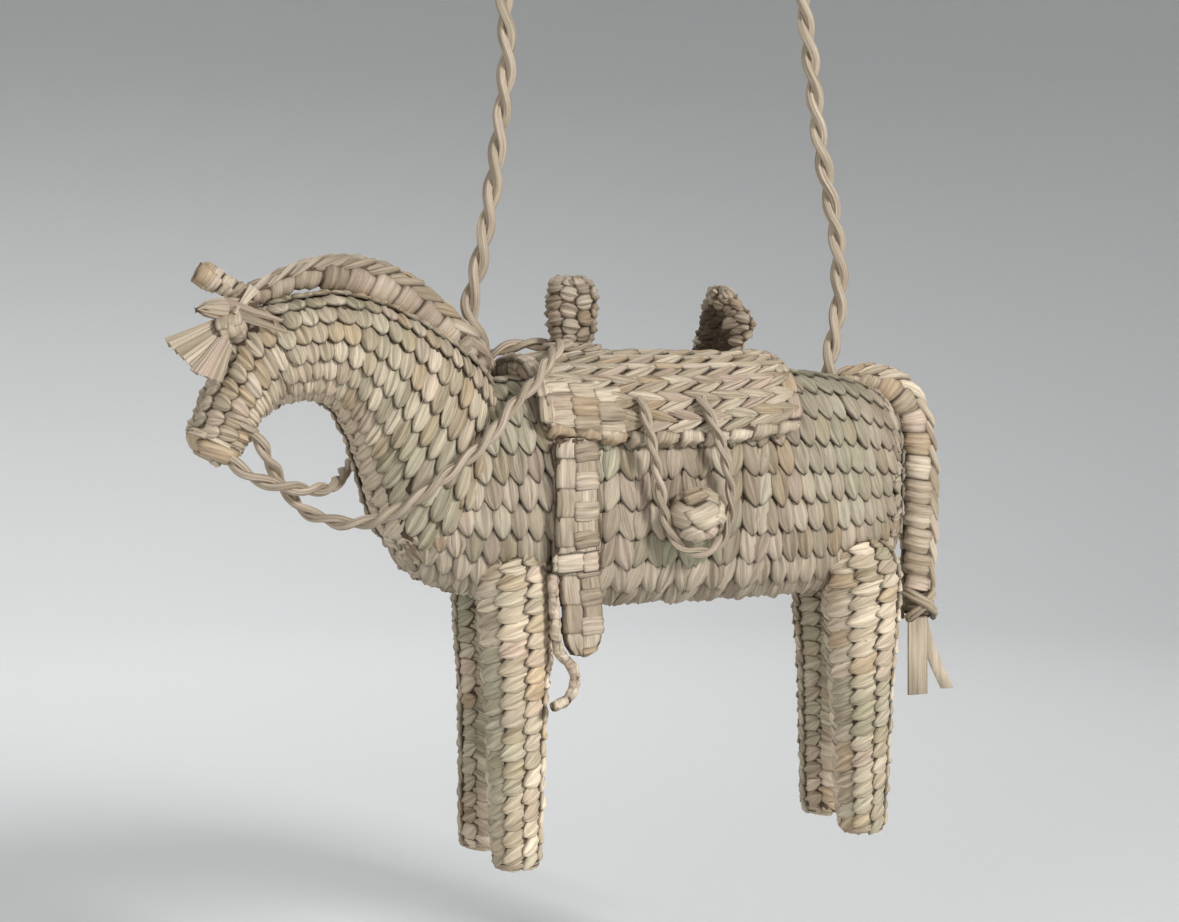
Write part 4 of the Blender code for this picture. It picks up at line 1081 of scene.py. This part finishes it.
class HORSEBAG_OT_barrel(bpy.types.Operator):
    """Weaves the barrel with its chest and rump"""

    bl_idname = "horsebag.barrel"
    bl_label = "Barrel"

    def execute(self, context):
        look = context.scene.horse_look
        low, high = corners("body_basket")
        half = (high.x - low.x) / 2
        centre = middle("body_basket")
        frames = []
        for k in range(72):
            x = centre.x + half * .992 * math.sin(QUARTER * (2 * (k + .5) / 72 - 1))
            frames.append((Vector((x, centre.y, centre.z)), UP, NEAR))
        chart = Chart("barrel", rings_on("body_basket", frames, .13, 72, inward=True))
        leaves = Leaves(11, chart)
        courses = look.body_courses
        pitch = chart.girth / courses
        ends = (chart.at(low.x + .010), chart.at(high.x - .012))
        # The shoulder and the rump have one lean, and on the flank leaves lean together in pairs.
        for first, last, spacing, lean, paired in (
            (ends[0], chart.at(HOME.x + .0155), look.body_leaf, .14, False),
            (chart.at(HOME.x + .0120), chart.at(HOME.x + .1150), look.flank_leaf, .27, True),
            (chart.at(HOME.x + .1105), ends[1], look.body_leaf, .26, False),
        ):
            count = fit(last - first, spacing)[0]
            count += count % 2
            spacing = (last - first) / count
            for course in range(courses):
                turn_round = (course + .5) / courses
                from_back = min(turn_round, 1 - turn_round)
                belly = .36 < from_back < .47
                for k in range(count):
                    along = first + (k + .5 + (0 if paired else .5 * (course % 2))) * spacing
                    turn = lean if paired and k % 2 else -lean
                    if paired:
                        along += (-.06 if k % 2 else .06) * spacing
                    if turn_round > .5:
                        turn += math.pi
                    x = float(np.interp(along, chart.along, chart.middles[:, 0])) - HOME.x
                    if MOUTH_SPAN[0] < x < MOUTH_SPAN[1] and from_back < .06:
                        continue
                    under = SADDLE_SPAN[0] < x < SADDLE_SPAN[1] and from_back < .13
                    # Belly rows take pale cream tones and no green: painted light, as if lit from below.
                    leaves.add(
                        along, turn_round * chart.girth, turn, spacing * (1.46 if paired else 1.34), pitch * 1.50,
                        look.leaf_height * (.5 if under else 1.3 if belly else 1.0),
                        lift=-.0002 if under else leaves.chance.uniform(-.0003, .0011 if belly else .0003),
                        green=0.0 if belly else .85 if paired else .45,
                        tone=.30 + leaves.chance.uniform(-.1, .1) if belly else None,
                    )
        for way, rim, edge in ((-1, ends[0], 0.0), (1, ends[1], chart.length)):
            rings, depth = fit(abs(edge - rim), .0105)
            for ring in range(rings):
                along = rim + way * (ring + .42) * depth
                parts = max(int(chart.girth / chart.stretch(along) / .0070), 5)
                leaves.spokes(
                    along, depth * 1.55, parts, QUARTER * way + .18, 1.12, look.leaf_height,
                    shift=.5 * (ring % 2), green=.4)
        hub = low.z + .045
        frames = [(Vector((x, centre.y, hub)), UP, NEAR) for x in np.linspace(low.x + .016, high.x - .016, 40)]
        chart = Chart("barrel_lining", rings_on("body_basket", frames, .13, 72), lining=True)
        lining = Leaves(12, chart)
        courses = 20
        count = int(chart.length / .0070)
        for course in range(courses):
            turn_round = (course + .5) / courses
            for k in range(count if .115 < turn_round < .885 else 0):
                lining.add(
                    (k + .5 + .5 * (course % 2)) / count * chart.length, turn_round * chart.girth, .2,
                    chart.length / count * 1.34, chart.girth / courses * 1.5, .0016, green=.3)
        # The barrel's straw(.78) is partly its own tone, partly painted shade.
        dress(
            "body_basket", "horse", core("body_basket", .0014), weave(leaves, "lozenge", straw(.78)),
            weave(lining, "lozenge", straw(.86)))
        return {"FINISHED"}


class HORSEBAG_OT_neck_and_head(bpy.types.Operator):
    """Weaves the neck and the head"""

    bl_idname = "horsebag.neck_and_head"
    bl_label = "Neck and head"

    def execute(self, context):
        look = context.scene.horse_look
        for name, ribs, courses, spacing, start, stop, green in (
            ("neck", NECK_RIBS, 17, .0062, -.006, .0, .5), ("head", HEAD_RIBS, 10, .0056, -.005, .001, .2),
        ):
            chart = Chart(name, rib_rings(ribs))
            leaves = Leaves(23, chart)
            count, gap = fit(chart.length - start - stop, spacing)
            for course in range(courses):
                around = (course + .5) / courses
                throat = .42 < around < .58
                for k in range(count):
                    leaves.add(
                        start + (k + .25 + .5 * (course % 2)) * gap, around * chart.girth,
                        .16 if around < .5 else math.pi - .16, gap * 1.36, chart.girth / courses * 1.46,
                        look.leaf_height * 1.12, lift=leaves.chance.uniform(-.0004, .0003),
                        green=0.0 if throat else green, tone=.3 if throat else None,
                    )
            # straw(1.10) is partly the neck's and head's own tone, partly painted light.
            dress(name, "horse", core(name, .0012), weave(leaves, "oval", straw(1.10)))
        return {"FINISHED"}


class HORSEBAG_OT_legs(bpy.types.Operator):
    """Weaves the four legs"""

    bl_idname = "horsebag.legs"
    bl_label = "Legs"

    def execute(self, context):
        look = context.scene.horse_look
        # Each leg's straw factor is partly its own tone, partly painted light and shade: the near legs get brighter
        # straw as painted light, the far legs darker straw as painted shade.
        for number, (name, tone_and_light_level) in enumerate((
            ("leg_front_near", 1.48), ("leg_front_far", 1.10), ("leg_rear_near", 1.30), ("leg_rear_far", 1.10),
        )):
            low, high = corners(name)
            centre = middle(name)
            frames = []
            for k in range(48):
                z = low.z + .0006 + (high.z - low.z - .0012) * math.sin(QUARTER * k / 47) ** .9
                frames.append((Vector((centre.x, centre.y, z)), FAR if name.endswith("near") else NEAR, AFT))
            rings = close_end(rings_on(name, frames, .045, 48, inward=True), last=False)
            chart = Chart(name, rings)
            sole = chart.at(low.z + .001, 2)
            leaves, rim = Leaves(31 + number, chart), Leaves(41 + number, chart)
            courses = 8
            count, spacing = fit(chart.length - sole - .004, look.leg_leaf)
            for course in range(courses):
                around = (course + .5) / courses
                lean = .46 if .2 < around < .8 or course % 2 else -.46
                for k in range(count + 1):
                    along = sole + .0004 + (k + .5 * (course % 2)) * spacing
                    leaves.add(
                        min(along, chart.length + .002), around * chart.girth, lean, spacing * 1.42,
                        chart.girth / courses * 1.62, look.leaf_height * 1.1,
                        lift=leaves.chance.uniform(-.0009, -.0003), green=.65)
            rim.belt(sole + .0012, .0044, 4, .03, 1.1, .0026, tone=.3)
            rim.spokes(sole * .45, sole * .9, 6, QUARTER, 1.1, .0012)
            inner = drawn_in(rings, .90)
            # The core keeps clear of the sole's leaves.
            for ring in inner[:4]:
                ring[:, 2] += .0012
            dress(
                name, "horse", loft(inner), weave(leaves, "lozenge", straw(tone_and_light_level)), weave(rim, "block", pale_straw()))
        return {"FINISHED"}


class HORSEBAG_OT_mane_and_tail(bpy.types.Operator):
    """Wraps and braids the mane and the tail, with the tail's tie and loose strips"""

    bl_idname = "horsebag.mane_and_tail"
    bl_label = "Mane and tail"

    def execute(self, context):
        # The mane's straw factor is partly its own tone, partly painted shade; the tail's is partly its own tone,
        # partly painted light.
        for name, rows, share, tone_and_light_level, apart, seed in (
            ("mane", MANE_ROLL, .85, .84, .080, 51), ("tail", TAIL_ROLL, .80, 1.06, .100, 52),
        ):
            rings = close_ends(roll_rings(rows, share))
            chart = Chart(name, rings)
            wraps, plait = Leaves(seed, chart), Leaves(seed + 10, chart)
            count, step = fit(chart.length, .0110)
            for k in range(count):
                for around, turn in ((.33, .22), (.67, -.22)):
                    wraps.add(
                        (k + .5) * step, around * chart.girth, turn, step * 1.10, chart.girth * .34, .0026,
                        lift=wraps.chance.uniform(-.0002, .0003))
            count, step = fit(chart.length, .0102)
            for k in range(count):
                for side in (-1, 1):
                    plait.add(
                        (k + .5 + .25 * side) * step, side * apart * chart.girth, -QUARTER - side * .42,
                        .0070, .0205, .0030, lift=.0002)
            dress(
                name, "horse", loft(drawn_in(rings, .90)), weave(wraps, "block", straw(tone_and_light_level)),
                weave(plait, "strand", straw(tone_and_light_level)))
        chart = Chart("tail_tie", level_rings("tail_tie", 16, AFT, NEAR, .03, 36))
        coats = []
        for lift, lean in ((.0008, .62), (.0017, -.62)):
            ties = Leaves(71, chart)
            for around in (.25, .75):
                ties.add(chart.length * .5, around * chart.girth, lean, .0054, chart.girth * .60, .0022, lift=lift)
            ties.belt(chart.length * .5, chart.length * .8, 4, .05, 1.12, .0014)
            coats.append(weave(ties, "block", pale_straw()))
        dress("tail_tie", "horse", core("tail_tie", .0008), *coats)
        for name, tone in (("tail_strip_wide", .2), ("tail_strip_side", .5), ("tail_strip_short", .8)):
            dress(name, "horse", cut_strip(name, tone), ending="_cut")
        return {"FINISHED"}


class HORSEBAG_OT_saddle(bpy.types.Operator):
    """Plaits the saddle's lid and skirt, its horn and its cantle"""

    bl_idname = "horsebag.saddle"
    bl_label = "Saddle"

    # Width of the trim, and spacing of the plait down and along a flap, of its blocks and wraps and of its roll.
    TRIM, DOWN, ALONG, BLOCK, WRAP, ROLL = .0125, .0082, .0138, .0122, .0110, .0095
    # A wrapped corner's length and height, at the front foot of the long flap.
    CORNER = (.034, .017)
    # Radius of the hollow in the cantle, and the girth under which a knob's top has no more courses.
    HOLLOW_RADIUS, TOP_GIRTH = .0105, .017

    def flap(self, name, body, side):
        """Plaits the lid or the skirt, its border, its lining and the roll at its front."""
        trim = self.TRIM
        heart = tuple(at_home(.065, 0, .15))
        lines = saddle_lines(name, side)
        chart = Chart(name, lines, closed=False, inside=heart)
        under = []
        for line in lines:
            out = (line - np.array((0, HOME.y, SADDLE_AXIS))) * (0, 1, 1)
            under.append(line - out / np.linalg.norm(out, axis=1, keepdims=True) * .0048)
        below = Chart(name + "_lining", under, closed=False, inside=heart, lining=True)
        edge = [Vector(p) for p in under[0][0:-8:2] + (.0030, 0, 0)]
        rings = hoop_rings(edge, np.linspace(.0056, .0030, len(edge)))
        roll = Chart(name + "_roll", rings)
        leaves, border = Leaves(61, chart), Leaves(62, chart)
        lining, turns = Leaves(63, below), Leaves(64, roll)
        plaited = chart.girth - trim
        rows, pitch = fit(plaited, self.DOWN)
        steps, step = fit(chart.length, self.ALONG)
        # How far the wrapped corner goes back, and where it starts.
        corner = (self.CORNER[0], plaited - self.CORNER[1]) if rows > 4 else (0, chart.girth)
        for row in range(rows):
            for k in range(steps):
                for half in (-1, 1):
                    if (k + .6) * step < corner[0] and (row + .5) * pitch > corner[1]:
                        continue
                    along = min(max((k + .5 + .25 * (row % 2)) * step, step * .68), chart.length - step * .66)
                    strip = ((row + .5 + .25 * half) * pitch, -QUARTER - half * .26, pitch * .70, step * 1.50)
                    leaves.add(along, *strip, .0022, lift=leaves.chance.uniform(-.0002, .0002), green=.35)
                    if row < rows - 1:
                        lining.add(min(max((k + .5) * step, step * .8), chart.length - step * .8), *strip, .0014)
        blocks, block = fit(chart.length, self.BLOCK)
        for k in range(blocks):
            border.add((k + .5) * block, chart.girth - trim * .28, .15, block * 1.06, trim * 1.5, .0030, lift=.0003)
        for column in range(3 if corner[0] else 0):
            for k in range(3):
                border.add(
                    .0068 + column * .0112, corner[1] - .0005 + column * .0014 + k * .0078,
                    QUARTER - .16 + .1 * (k % 2), .0092, .0136, .0026, lift=.0004 * (k % 2))
        wraps, wrap = fit(plaited, self.WRAP)
        for k in range(wraps):
            top = 1 - k / wraps
            for place in (.0012, chart.length - .0012):
                border.add(
                    place, (k + .5) * wrap, .1, .0080, wrap * 1.15, .0024 + .0014 * top, lift=.0004 * top)
        count = int(roll.length / self.ROLL)
        for k in range(count):
            turns.belt(
                (k + .5) / count * roll.length, roll.length / count * 1.12, 3, .2, 1.25, .0018, shift=.4 * (k % 2))
        # The front roll's straw(.84) is partly its own tone, partly painted shade.
        dress(
            name, body, core(name, .0012), weave(leaves, "lozenge", straw()), weave(border, "block", straw()),
            weave(lining, "lozenge", straw()), loft(drawn_in(close_ends(rings), .8)),
            weave(turns, "block", straw(.84)))

    def knob(self, name, courses, spacing, lean, seed):
        """Plaits the horn, or the cantle with the hollow in its front."""
        rings = level_rings(name, 30, FAR, AFT, .05, 40, head=.0010)
        low, high = corners(name)
        hollow = np.array(at_home(.1035, .0060, low.z + (high.z - low.z) * .38)) if name == "saddle_cantle" else None
        for ring in rings if hollow is not None else ():
            hub = ring.mean(axis=0)
            front = (ring - hub) @ CANTLE_FRONT > .0008
            near = np.exp(-(np.linalg.norm(ring - hollow, axis=1) / self.HOLLOW_RADIUS) ** 2) * front
            ring += (hub - ring) * (near * .75)[:, None]
        closed = close_end(rings, rise=.0008)
        chart = Chart(name, closed)
        leaves = Leaves(seed, chart)
        count, step = fit(chart.length, spacing)
        for course in range(courses):
            around = (course + .5) / courses
            for k in range(count + 1):
                along = (k + .25 + .5 * (course % 2)) * step
                if chart.girth / chart.stretch(along) < self.TOP_GIRTH:
                    continue
                # Leaves inside the hollow take tone 1.0, the painted shade at the end of the straw's ramp.
                tone = None
                if hollow is not None:
                    ring = rings[min(int(np.searchsorted(chart.along, along)), len(rings) - 1)]
                    spot = ring[int(around * 40) % 40]
                    front = (spot - ring.mean(axis=0)) @ CANTLE_FRONT > -.0006
                    tone = 1.0 if front and np.linalg.norm(spot - hollow) < .0115 else None
                leaves.add(
                    along, around * chart.girth, lean if course % 2 else -lean, step * 1.12,
                    chart.girth / courses * 1.30, .0034, lift=leaves.chance.uniform(-.0008, 0), tone=tone)
        leaves.spokes(chart.length - .004, .011, 4, QUARTER, 1.0, .0026, shift=0)
        # straw(.74) on the horn and cantle is partly their own tone, partly painted shade.
        dress(name, "lid", loft(drawn_in(closed, .86)), weave(leaves, "knob", straw(.74)))

    def execute(self, context):
        self.flap("saddle_lid", "lid", 1)
        self.flap("saddle_skirt", "horse", -1)
        self.knob("saddle_horn", 8, .0074, .22, 81)
        self.knob("saddle_cantle", 10, .0064, .40, 82)
        knot = twist("rein_knot", ring_line("rein_knot"), .0046, .016, .0012, closed=True)
        dress("rein_knot", "lid", knot, ending="_twist")
        low, high = corners("hinge_cord")
        mid = middle("hinge_cord")
        route = [Vector((low.x + (high.x - low.x) * k / 30, mid.y, mid.z)) for k in range(31)]
        hinge = twist("hinge_cord", route, min(high.y - low.y, high.z - low.z), .012)
        dress("hinge_cord", "horse", hinge, ending="_twist")
        return {"FINISHED"}


class HORSEBAG_OT_fastening(bpy.types.Operator):
    """Weaves the ball button and ties the knots inside"""

    bl_idname = "horsebag.fastening"
    bl_label = "Ball and knots"

    def execute(self, context):
        for name, courses, size, lean in (
            ("closure_ball", 5, .0105, .5), ("strap_knot_front", 4, .007, .6), ("strap_knot_rear", 4, .007, .6),
        ):
            chart = Chart(name, close_ends(level_rings(name, 22, FAR, AFT, .03, 40)))
            bands = Leaves(91, chart)
            rows = max(int(round(chart.length / size)), 2)
            for row in range(rows):
                for course in range(courses):
                    over = (row + course) % 2
                    bands.add(
                        (row + .5) / rows * chart.length, (course + .5 * (row % 2)) / courses * chart.girth,
                        lean if over else -lean, chart.length / rows * 1.15, chart.girth / courses * 1.25, .0022,
                        lift=.0004 * over)
            dress(name, "horse", core(name, .0008), weave(bands, "block", straw()))
        dress("ball_tie", "horse", core("ball_tie", 0.0, cord_straw()), ending="_twist")
        return {"FINISHED"}


class HORSEBAG_OT_stirrups(bpy.types.Operator):
    """Plaits the stirrup leathers and bends the stirrups"""

    bl_idname = "horsebag.stirrups"
    bl_label = "Stirrups"

    def execute(self, context):
        for which, side in (("near", NEAR), ("far", FAR)):
            body = which + "_stirrup"
            name = "fender_" + which
            rings = level_rings(name, 40, AFT, side, .04, 40)
            for ring in rings:
                hub = ring[:, 0].mean()
                low = min(max((.128 - ring[0, 2]) / .02, 0), 1)
                wide, shift = (1.10 - .06 * low, .0014 + .0026 * low) if which == "near" else (1.0, .0040 * low)
                ring[:, 0] = hub + (ring[:, 0] - hub) * wide + shift
            rings = close_ends(rings)
            chart = Chart(name, rings)
            blocks = Leaves(101, chart)
            count, step = fit(chart.length, .0124)
            wide, tall = chart.girth * .250, chart.girth * .285
            for face in (.25, .75):
                for k in range(count):
                    sway = blocks.chance.uniform(-.08, .08)
                    blocks.add((k + .5) * step, (face + .115) * chart.girth, QUARTER + sway, wide, step * 1.12, .0018)
                    blocks.add((k + .77) * step, (face - .100) * chart.girth, QUARTER, wide, step * .9, .0010)
                    blocks.add(
                        (k + .22) * step, (face - .095) * chart.girth, .10 + sway, step * .72, tall, .0019,
                        lift=.0005)
            # straw(.88) on the fenders is partly their own tone, partly painted shade.
            dress(name, body, loft(drawn_in(rings, .93)), weave(blocks, "block", straw(.88), wobble=.04))
            name = "fender_band_" + which
            chart = Chart(name, level_rings(name, 10, AFT, side, .04, 40, inward=True, foot=.0004, head=.0004))
            wraps = Leaves(111, chart)
            wraps.belt(chart.length / 2, chart.length * 1.08, 4, .05, 1.2, .0016, shift=.25)
            dress(name, body, core(name, .0006), weave(wraps, "block", pale_straw()))
            name = "stirrup_" + which
            rows = [(STIRRUP_FOOT[0] + x, STIRRUP_FOOT[1] + z, STIRRUP_RADIUS) for x, z in STIRRUP_ROUTE]
            rings = close_end(roll_rings(rows, .9, count=70, y=side.y * STIRRUP_ASIDE, base=0.0))
            chart = Chart(name, rings)
            wraps = Leaves(115, chart)
            count = int(chart.length / .0085)
            for k in range(count):
                wraps.belt(
                    (k + .5) / count * chart.length, chart.length / count * 1.12, 3, .25, 1.25, .0011,
                    shift=.3 * (k % 2))
            dress(name, body, loft(drawn_in(rings, .82)), weave(wraps, "block", pale_straw()), ending="_wrap")
        return {"FINISHED"}


class HORSEBAG_OT_face(bpy.types.Operator):
    """Makes the ears, the forelock, the noseband and the muzzle's folded leaf"""

    bl_idname = "horsebag.face"
    bl_label = "Face"

    def ear(self, name, root, tip, radii, flat, seed):
        """The core of a rolled ear, and its leaves with none set out yet. Heights are from the back."""
        start, end = (at_home(x, y, z + BACK_HEIGHT) for x, y, z in (root, tip))
        rings = close_end(spindle(start, end, radii, flat), shares=(.7, .3))
        return loft(drawn_in(rings, .80)), Leaves(seed, Chart(name, rings))

    def execute(self, context):
        ring = ring_line("noseband")
        hub = sum(ring, Vector()) / len(ring)
        ring = [
            hub + (point - hub) * (.96 - .26 * min(max((hub.x - point.x) / .006 + .4, 0), 1)) for point in ring
        ]
        dress("noseband", "horse", twist("noseband", ring, .0042, .020, .0014, closed=True), ending="_twist")

        roll, leaves = self.ear(
            "ear_far", (-.1070, .0028, .0288), (-.1278, .0060, .0390),
            radii=(.0040, .0038, .0042, .0056, .0050), flat=.85, seed=121)
        length = leaves.chart.length
        for place, wide, tone in ((.14, .28, .45), (.38, .24, .30), (.60, .20, .62), (.84, .42, .96)):
            leaves.belt(place * length, length * wide, 4, .2, 1.3, .0015, shift=place, tone=tone)
        dress("ear_far", "horse", roll, weave(leaves, "block", straw()))

        roll, leaves = self.ear(
            "ear_near", (-.1060, -.0048, .0240), (-.1305, -.0060, .0231),
            radii=(.0034, .0042, .0046, .0034, .0010), flat=.55, seed=122)
        length = leaves.chart.length
        leaves.spokes(length * .50, length * 1.12, 5, -QUARTER + .06, 1.5, .0015)
        roots = ((-.1205, -.0060, .2338), (-.1170, -.0090, .2300), (-.1065, -.0040, .2400))
        tips = ((-.0990, -.0185, .2262), (-.0975, -.0200, .2215), (-.1170, -.0105, .2285))
        poll = [[at_home(*p) for p in points] for points in (roots, tips)]
        dress(
            "ear_near", "horse", roll, weave(leaves, "lozenge", straw()),
            fan(*poll, .0066, straw(), 141, bend=.0022, spread=(.45, .12)))

        strips = []
        for root, first_tip, last_tip, count, seed in (
            ((-.1196, -.0060, .2241), (-.1423, -.0040, .2174), (-.1330, -.0075, .2076), 8, 131),
            ((-.1194, -.0100, .2190), (-.1331, -.0100, .2056), (-.1241, -.0120, .2023), 6, 132),
        ):
            shares = [k / (count - 1) for k in range(count)]
            roots = [at_home(*root) + Vector((.0012, -.0030, -.0055)) * (k - .5) for k in shares]
            tips = [at_home(*first_tip).lerp(at_home(*last_tip), k) for k in shares]
            strips.append(fan(roots, tips, .0038, pale_straw(), seed))
        dress("forelock", "horse", *strips, ending="_strips")
        rings = spindle(at_home(-.1225, -.0060, .2218), at_home(-.1120, -.0100, .2270), (.0052, .0046, .0050), .75)
        chart = Chart("forelock_tie", rings)
        wraps = Leaves(133, chart)
        wraps.belt(chart.length / 2, chart.length * .95, 3, .12, 1.25, .0013, shift=.2)
        dress("forelock_tie", "horse", loft(drawn_in(rings, .86)), weave(wraps, "block", pale_straw()))

        end = np.asarray(rib_rings(HEAD_RIBS)[-1])
        hub = end.mean(axis=0)
        rings = [
            hub + (end - hub) * share + MUZZLE_FRONT * bulge
            for share, bulge in ((1.02, -.0015), (1.0, .0010), (.95, .0032), (.80, .0050), (.5, .0058), (.15, .0060))
        ]
        chart = Chart("muzzle", rings, inside=tuple(hub - MUZZLE_FRONT * .01))
        folds = Leaves(134, chart)
        for part, tone in enumerate((.95, .95, .3, .3)):
            folds.add(
                chart.length * .55, (part + .02) / 4 * chart.girth, -QUARTER, chart.girth / 4 * 1.35,
                chart.length * 1.1, .0018, tone=tone)
        for along, around, turn, wide, long, lift, tone in (
            (.42, .27, .22, .66, .30, .0010, .97), (.78, .15, .10, .32, .30, .0012, .48),
            (.78, .40, -.10, .32, .28, .0014, .30),
        ):
            folds.add(
                along * chart.length, around * chart.girth, turn, wide * chart.length, long * chart.girth, .0016,
                lift=lift, tone=tone)
        folds.belt(.0012, .0034, 6, 0, 1.1, .0024, tone=.3)
        inner = drawn_in([ring - MUZZLE_FRONT * .0022 for ring in rings], .92)
        # straw(1.1) on the muzzle is partly its own tone, partly painted light.
        dress("muzzle_plug", "horse", loft(inner), weave(folds, "block", straw(1.1)), ending="_fold")
        return {"FINISHED"}


class HORSEBAG_OT_stage(bpy.types.Operator):
    """Sets the floor, the light and the camera"""

    bl_idname = "horsebag.stage"
    bl_label = "Stage"

    FLOOR_RADIUS, WALL_RADIUS, WALL_TOP, SIDES = 1.6, 3.0, 3.2, 64
    # Name, place, target, size and power of each lamp.
    LAMPS = (
        ("key_light", (.70, -1.85, 1.12), (0, 0, .12), .45, 39.0),
        ("fill_light", (-1.7, -1.3, .75), (0, 0, .10), 1.2, 9.0),
        ("floor_light", (0, 1.35, 1.0), (0, 1.36, -.09), 1.5, 9.0),
        ("back_light", (.3, 1.6, 1.9), (0, 0, .15), 1.2, 5.0),
    )
    # The photograph's width, focal length and shift in its pixels, and the camera's turn and place from HOME.
    PHOTO_WIDTH, FOCAL, SHIFT = 1179, 2150, -94
    CAMERA_TURN = math.radians(25)
    CAMERA_RIGHT, CAMERA_BACK, CAMERA_HEIGHT = .0395, .9119, .2079

    def bowl(self, stage):
        """A round floor that rises into a wall."""
        bend = self.WALL_RADIUS - self.FLOOR_RADIUS
        rows = [(self.FLOOR_RADIUS, -stage.drop)]
        rows += [
            (self.FLOOR_RADIUS + bend * math.sin(t), -stage.drop + bend * (1 - math.cos(t)))
            for t in (QUARTER * k / 8 for k in range(1, 9))
        ]
        rows.append((self.WALL_RADIUS, self.WALL_TOP))
        mesh = bmesh.new()
        rings = [
            [mesh.verts.new((radius * math.cos(t), radius * math.sin(t), z)) for t in turns_of(self.SIDES)]
            for radius, z in rows
        ]
        mesh.faces.new(rings[0])
        for lower, upper in zip(rings, rings[1:]):
            for k in range(self.SIDES):
                mesh.faces.new((lower[k], lower[k - 1], upper[k - 1], upper[k]))
        bmesh.ops.recalc_face_normals(mesh, faces=mesh.faces)
        bmesh.ops.reverse_faces(mesh, faces=mesh.faces)
        for face in mesh.faces:
            face.smooth = True
        finish, tree, surface = shade("studio_paint")
        # Painted shade: the floor keeps its colour and the wall darkens upwards to .72 of it.
        height = grow(tree, "ShaderNodeSeparateXYZ", {0: grow(tree, "ShaderNodeTexCoord")["Object"]})["Z"]
        rise = grow(tree, "ShaderNodeMapRange", {"Value": height, "From Min": -stage.drop, "From Max": .7})[0]
        stops = ((.0, tuple(stage.floor)), (1.0, tuple(c * .72 for c in stage.floor)))
        feed(tree, surface, {"Base Color": ramp_of(tree, rise, stops), "Roughness": .9})
        return made_of(mesh, "studio_bowl", finish)

    def execute(self, context):
        self.bowl(context.scene.horse_stage)
        for name, place, target, size, power in self.LAMPS:
            data = bpy.data.lights.new(name, "AREA")
            data.shape = "SQUARE"
            data.size = size
            data.energy = power
            lamp = show(name, data)
            lamp.visible_camera = False
            lamp.location = place
            lamp.rotation_euler = (Vector(target) - Vector(place)).to_track_quat("-Z", "Y").to_euler()
        world = bpy.data.worlds.new("studio_air")
        world.use_nodes = True
        feed(world.node_tree, world.node_tree.nodes["Background"], {0: (.95, .97, 1.0, 1), 1: .22})
        context.scene.world = world
        context.scene.view_settings.view_transform = "Standard"

        turn = self.CAMERA_TURN
        right = Vector((math.cos(turn), -math.sin(turn), 0))
        ahead = Vector((math.sin(turn), math.cos(turn), 0))
        data = bpy.data.cameras.new("photo_camera")
        data.sensor_width = 36
        data.lens = data.sensor_width * self.FOCAL / self.PHOTO_WIDTH
        data.shift_y = self.SHIFT / self.PHOTO_WIDTH
        camera = show("photo_camera", data)
        camera.location = HOME + right * self.CAMERA_RIGHT - ahead * self.CAMERA_BACK + UP * self.CAMERA_HEIGHT
        camera.rotation_euler = (QUARTER, 0, -turn)
        context.scene.camera = camera
        return {"FINISHED"}


class HORSEBAG_PT_pieces(bpy.types.Panel):
    """Lists the pieces of the horse bag"""

    bl_idname = "HORSEBAG_PT_pieces"
    bl_label = "Horse bag"
    bl_space_type = "VIEW_3D"
    bl_region_type = "UI"
    bl_category = "Horse bag"

    def draw(self, context):
        for step in STEPS:
            self.layout.operator(step.bl_idname)
        for group in (context.scene.horse_look, context.scene.horse_stage):
            for label in group.__annotations__:
                self.layout.prop(group, label)


STEPS = (
    HORSEBAG_OT_stage, HORSEBAG_OT_cords, HORSEBAG_OT_barrel, HORSEBAG_OT_neck_and_head, HORSEBAG_OT_legs,
    HORSEBAG_OT_mane_and_tail, HORSEBAG_OT_saddle, HORSEBAG_OT_fastening, HORSEBAG_OT_stirrups, HORSEBAG_OT_face,
)
CLASSES = (HorseBagLook, HorseBagStage, *STEPS, HORSEBAG_PT_pieces)


def register():
    """Adds the classes and the two groups of settings."""
    for made in CLASSES:
        bpy.utils.register_class(made)
    bpy.types.Scene.horse_look = bpy.props.PointerProperty(type=HorseBagLook)
    bpy.types.Scene.horse_stage = bpy.props.PointerProperty(type=HorseBagStage)


def unregister():
    """Takes them out again."""
    del bpy.types.Scene.horse_stage
    del bpy.types.Scene.horse_look
    for made in reversed(CLASSES):
        bpy.utils.unregister_class(made)


def main():
    """Makes every piece in order."""
    register()
    for step in STEPS:
        group, call = step.bl_idname.split(".")
        getattr(getattr(bpy.ops, group), call)()
    for thing in list(bpy.data.objects):
        if thing.name.startswith("shape_") or thing.name.endswith("_chart"):
            bpy.data.objects.remove(thing)


if __name__ == "__main__":
    main()
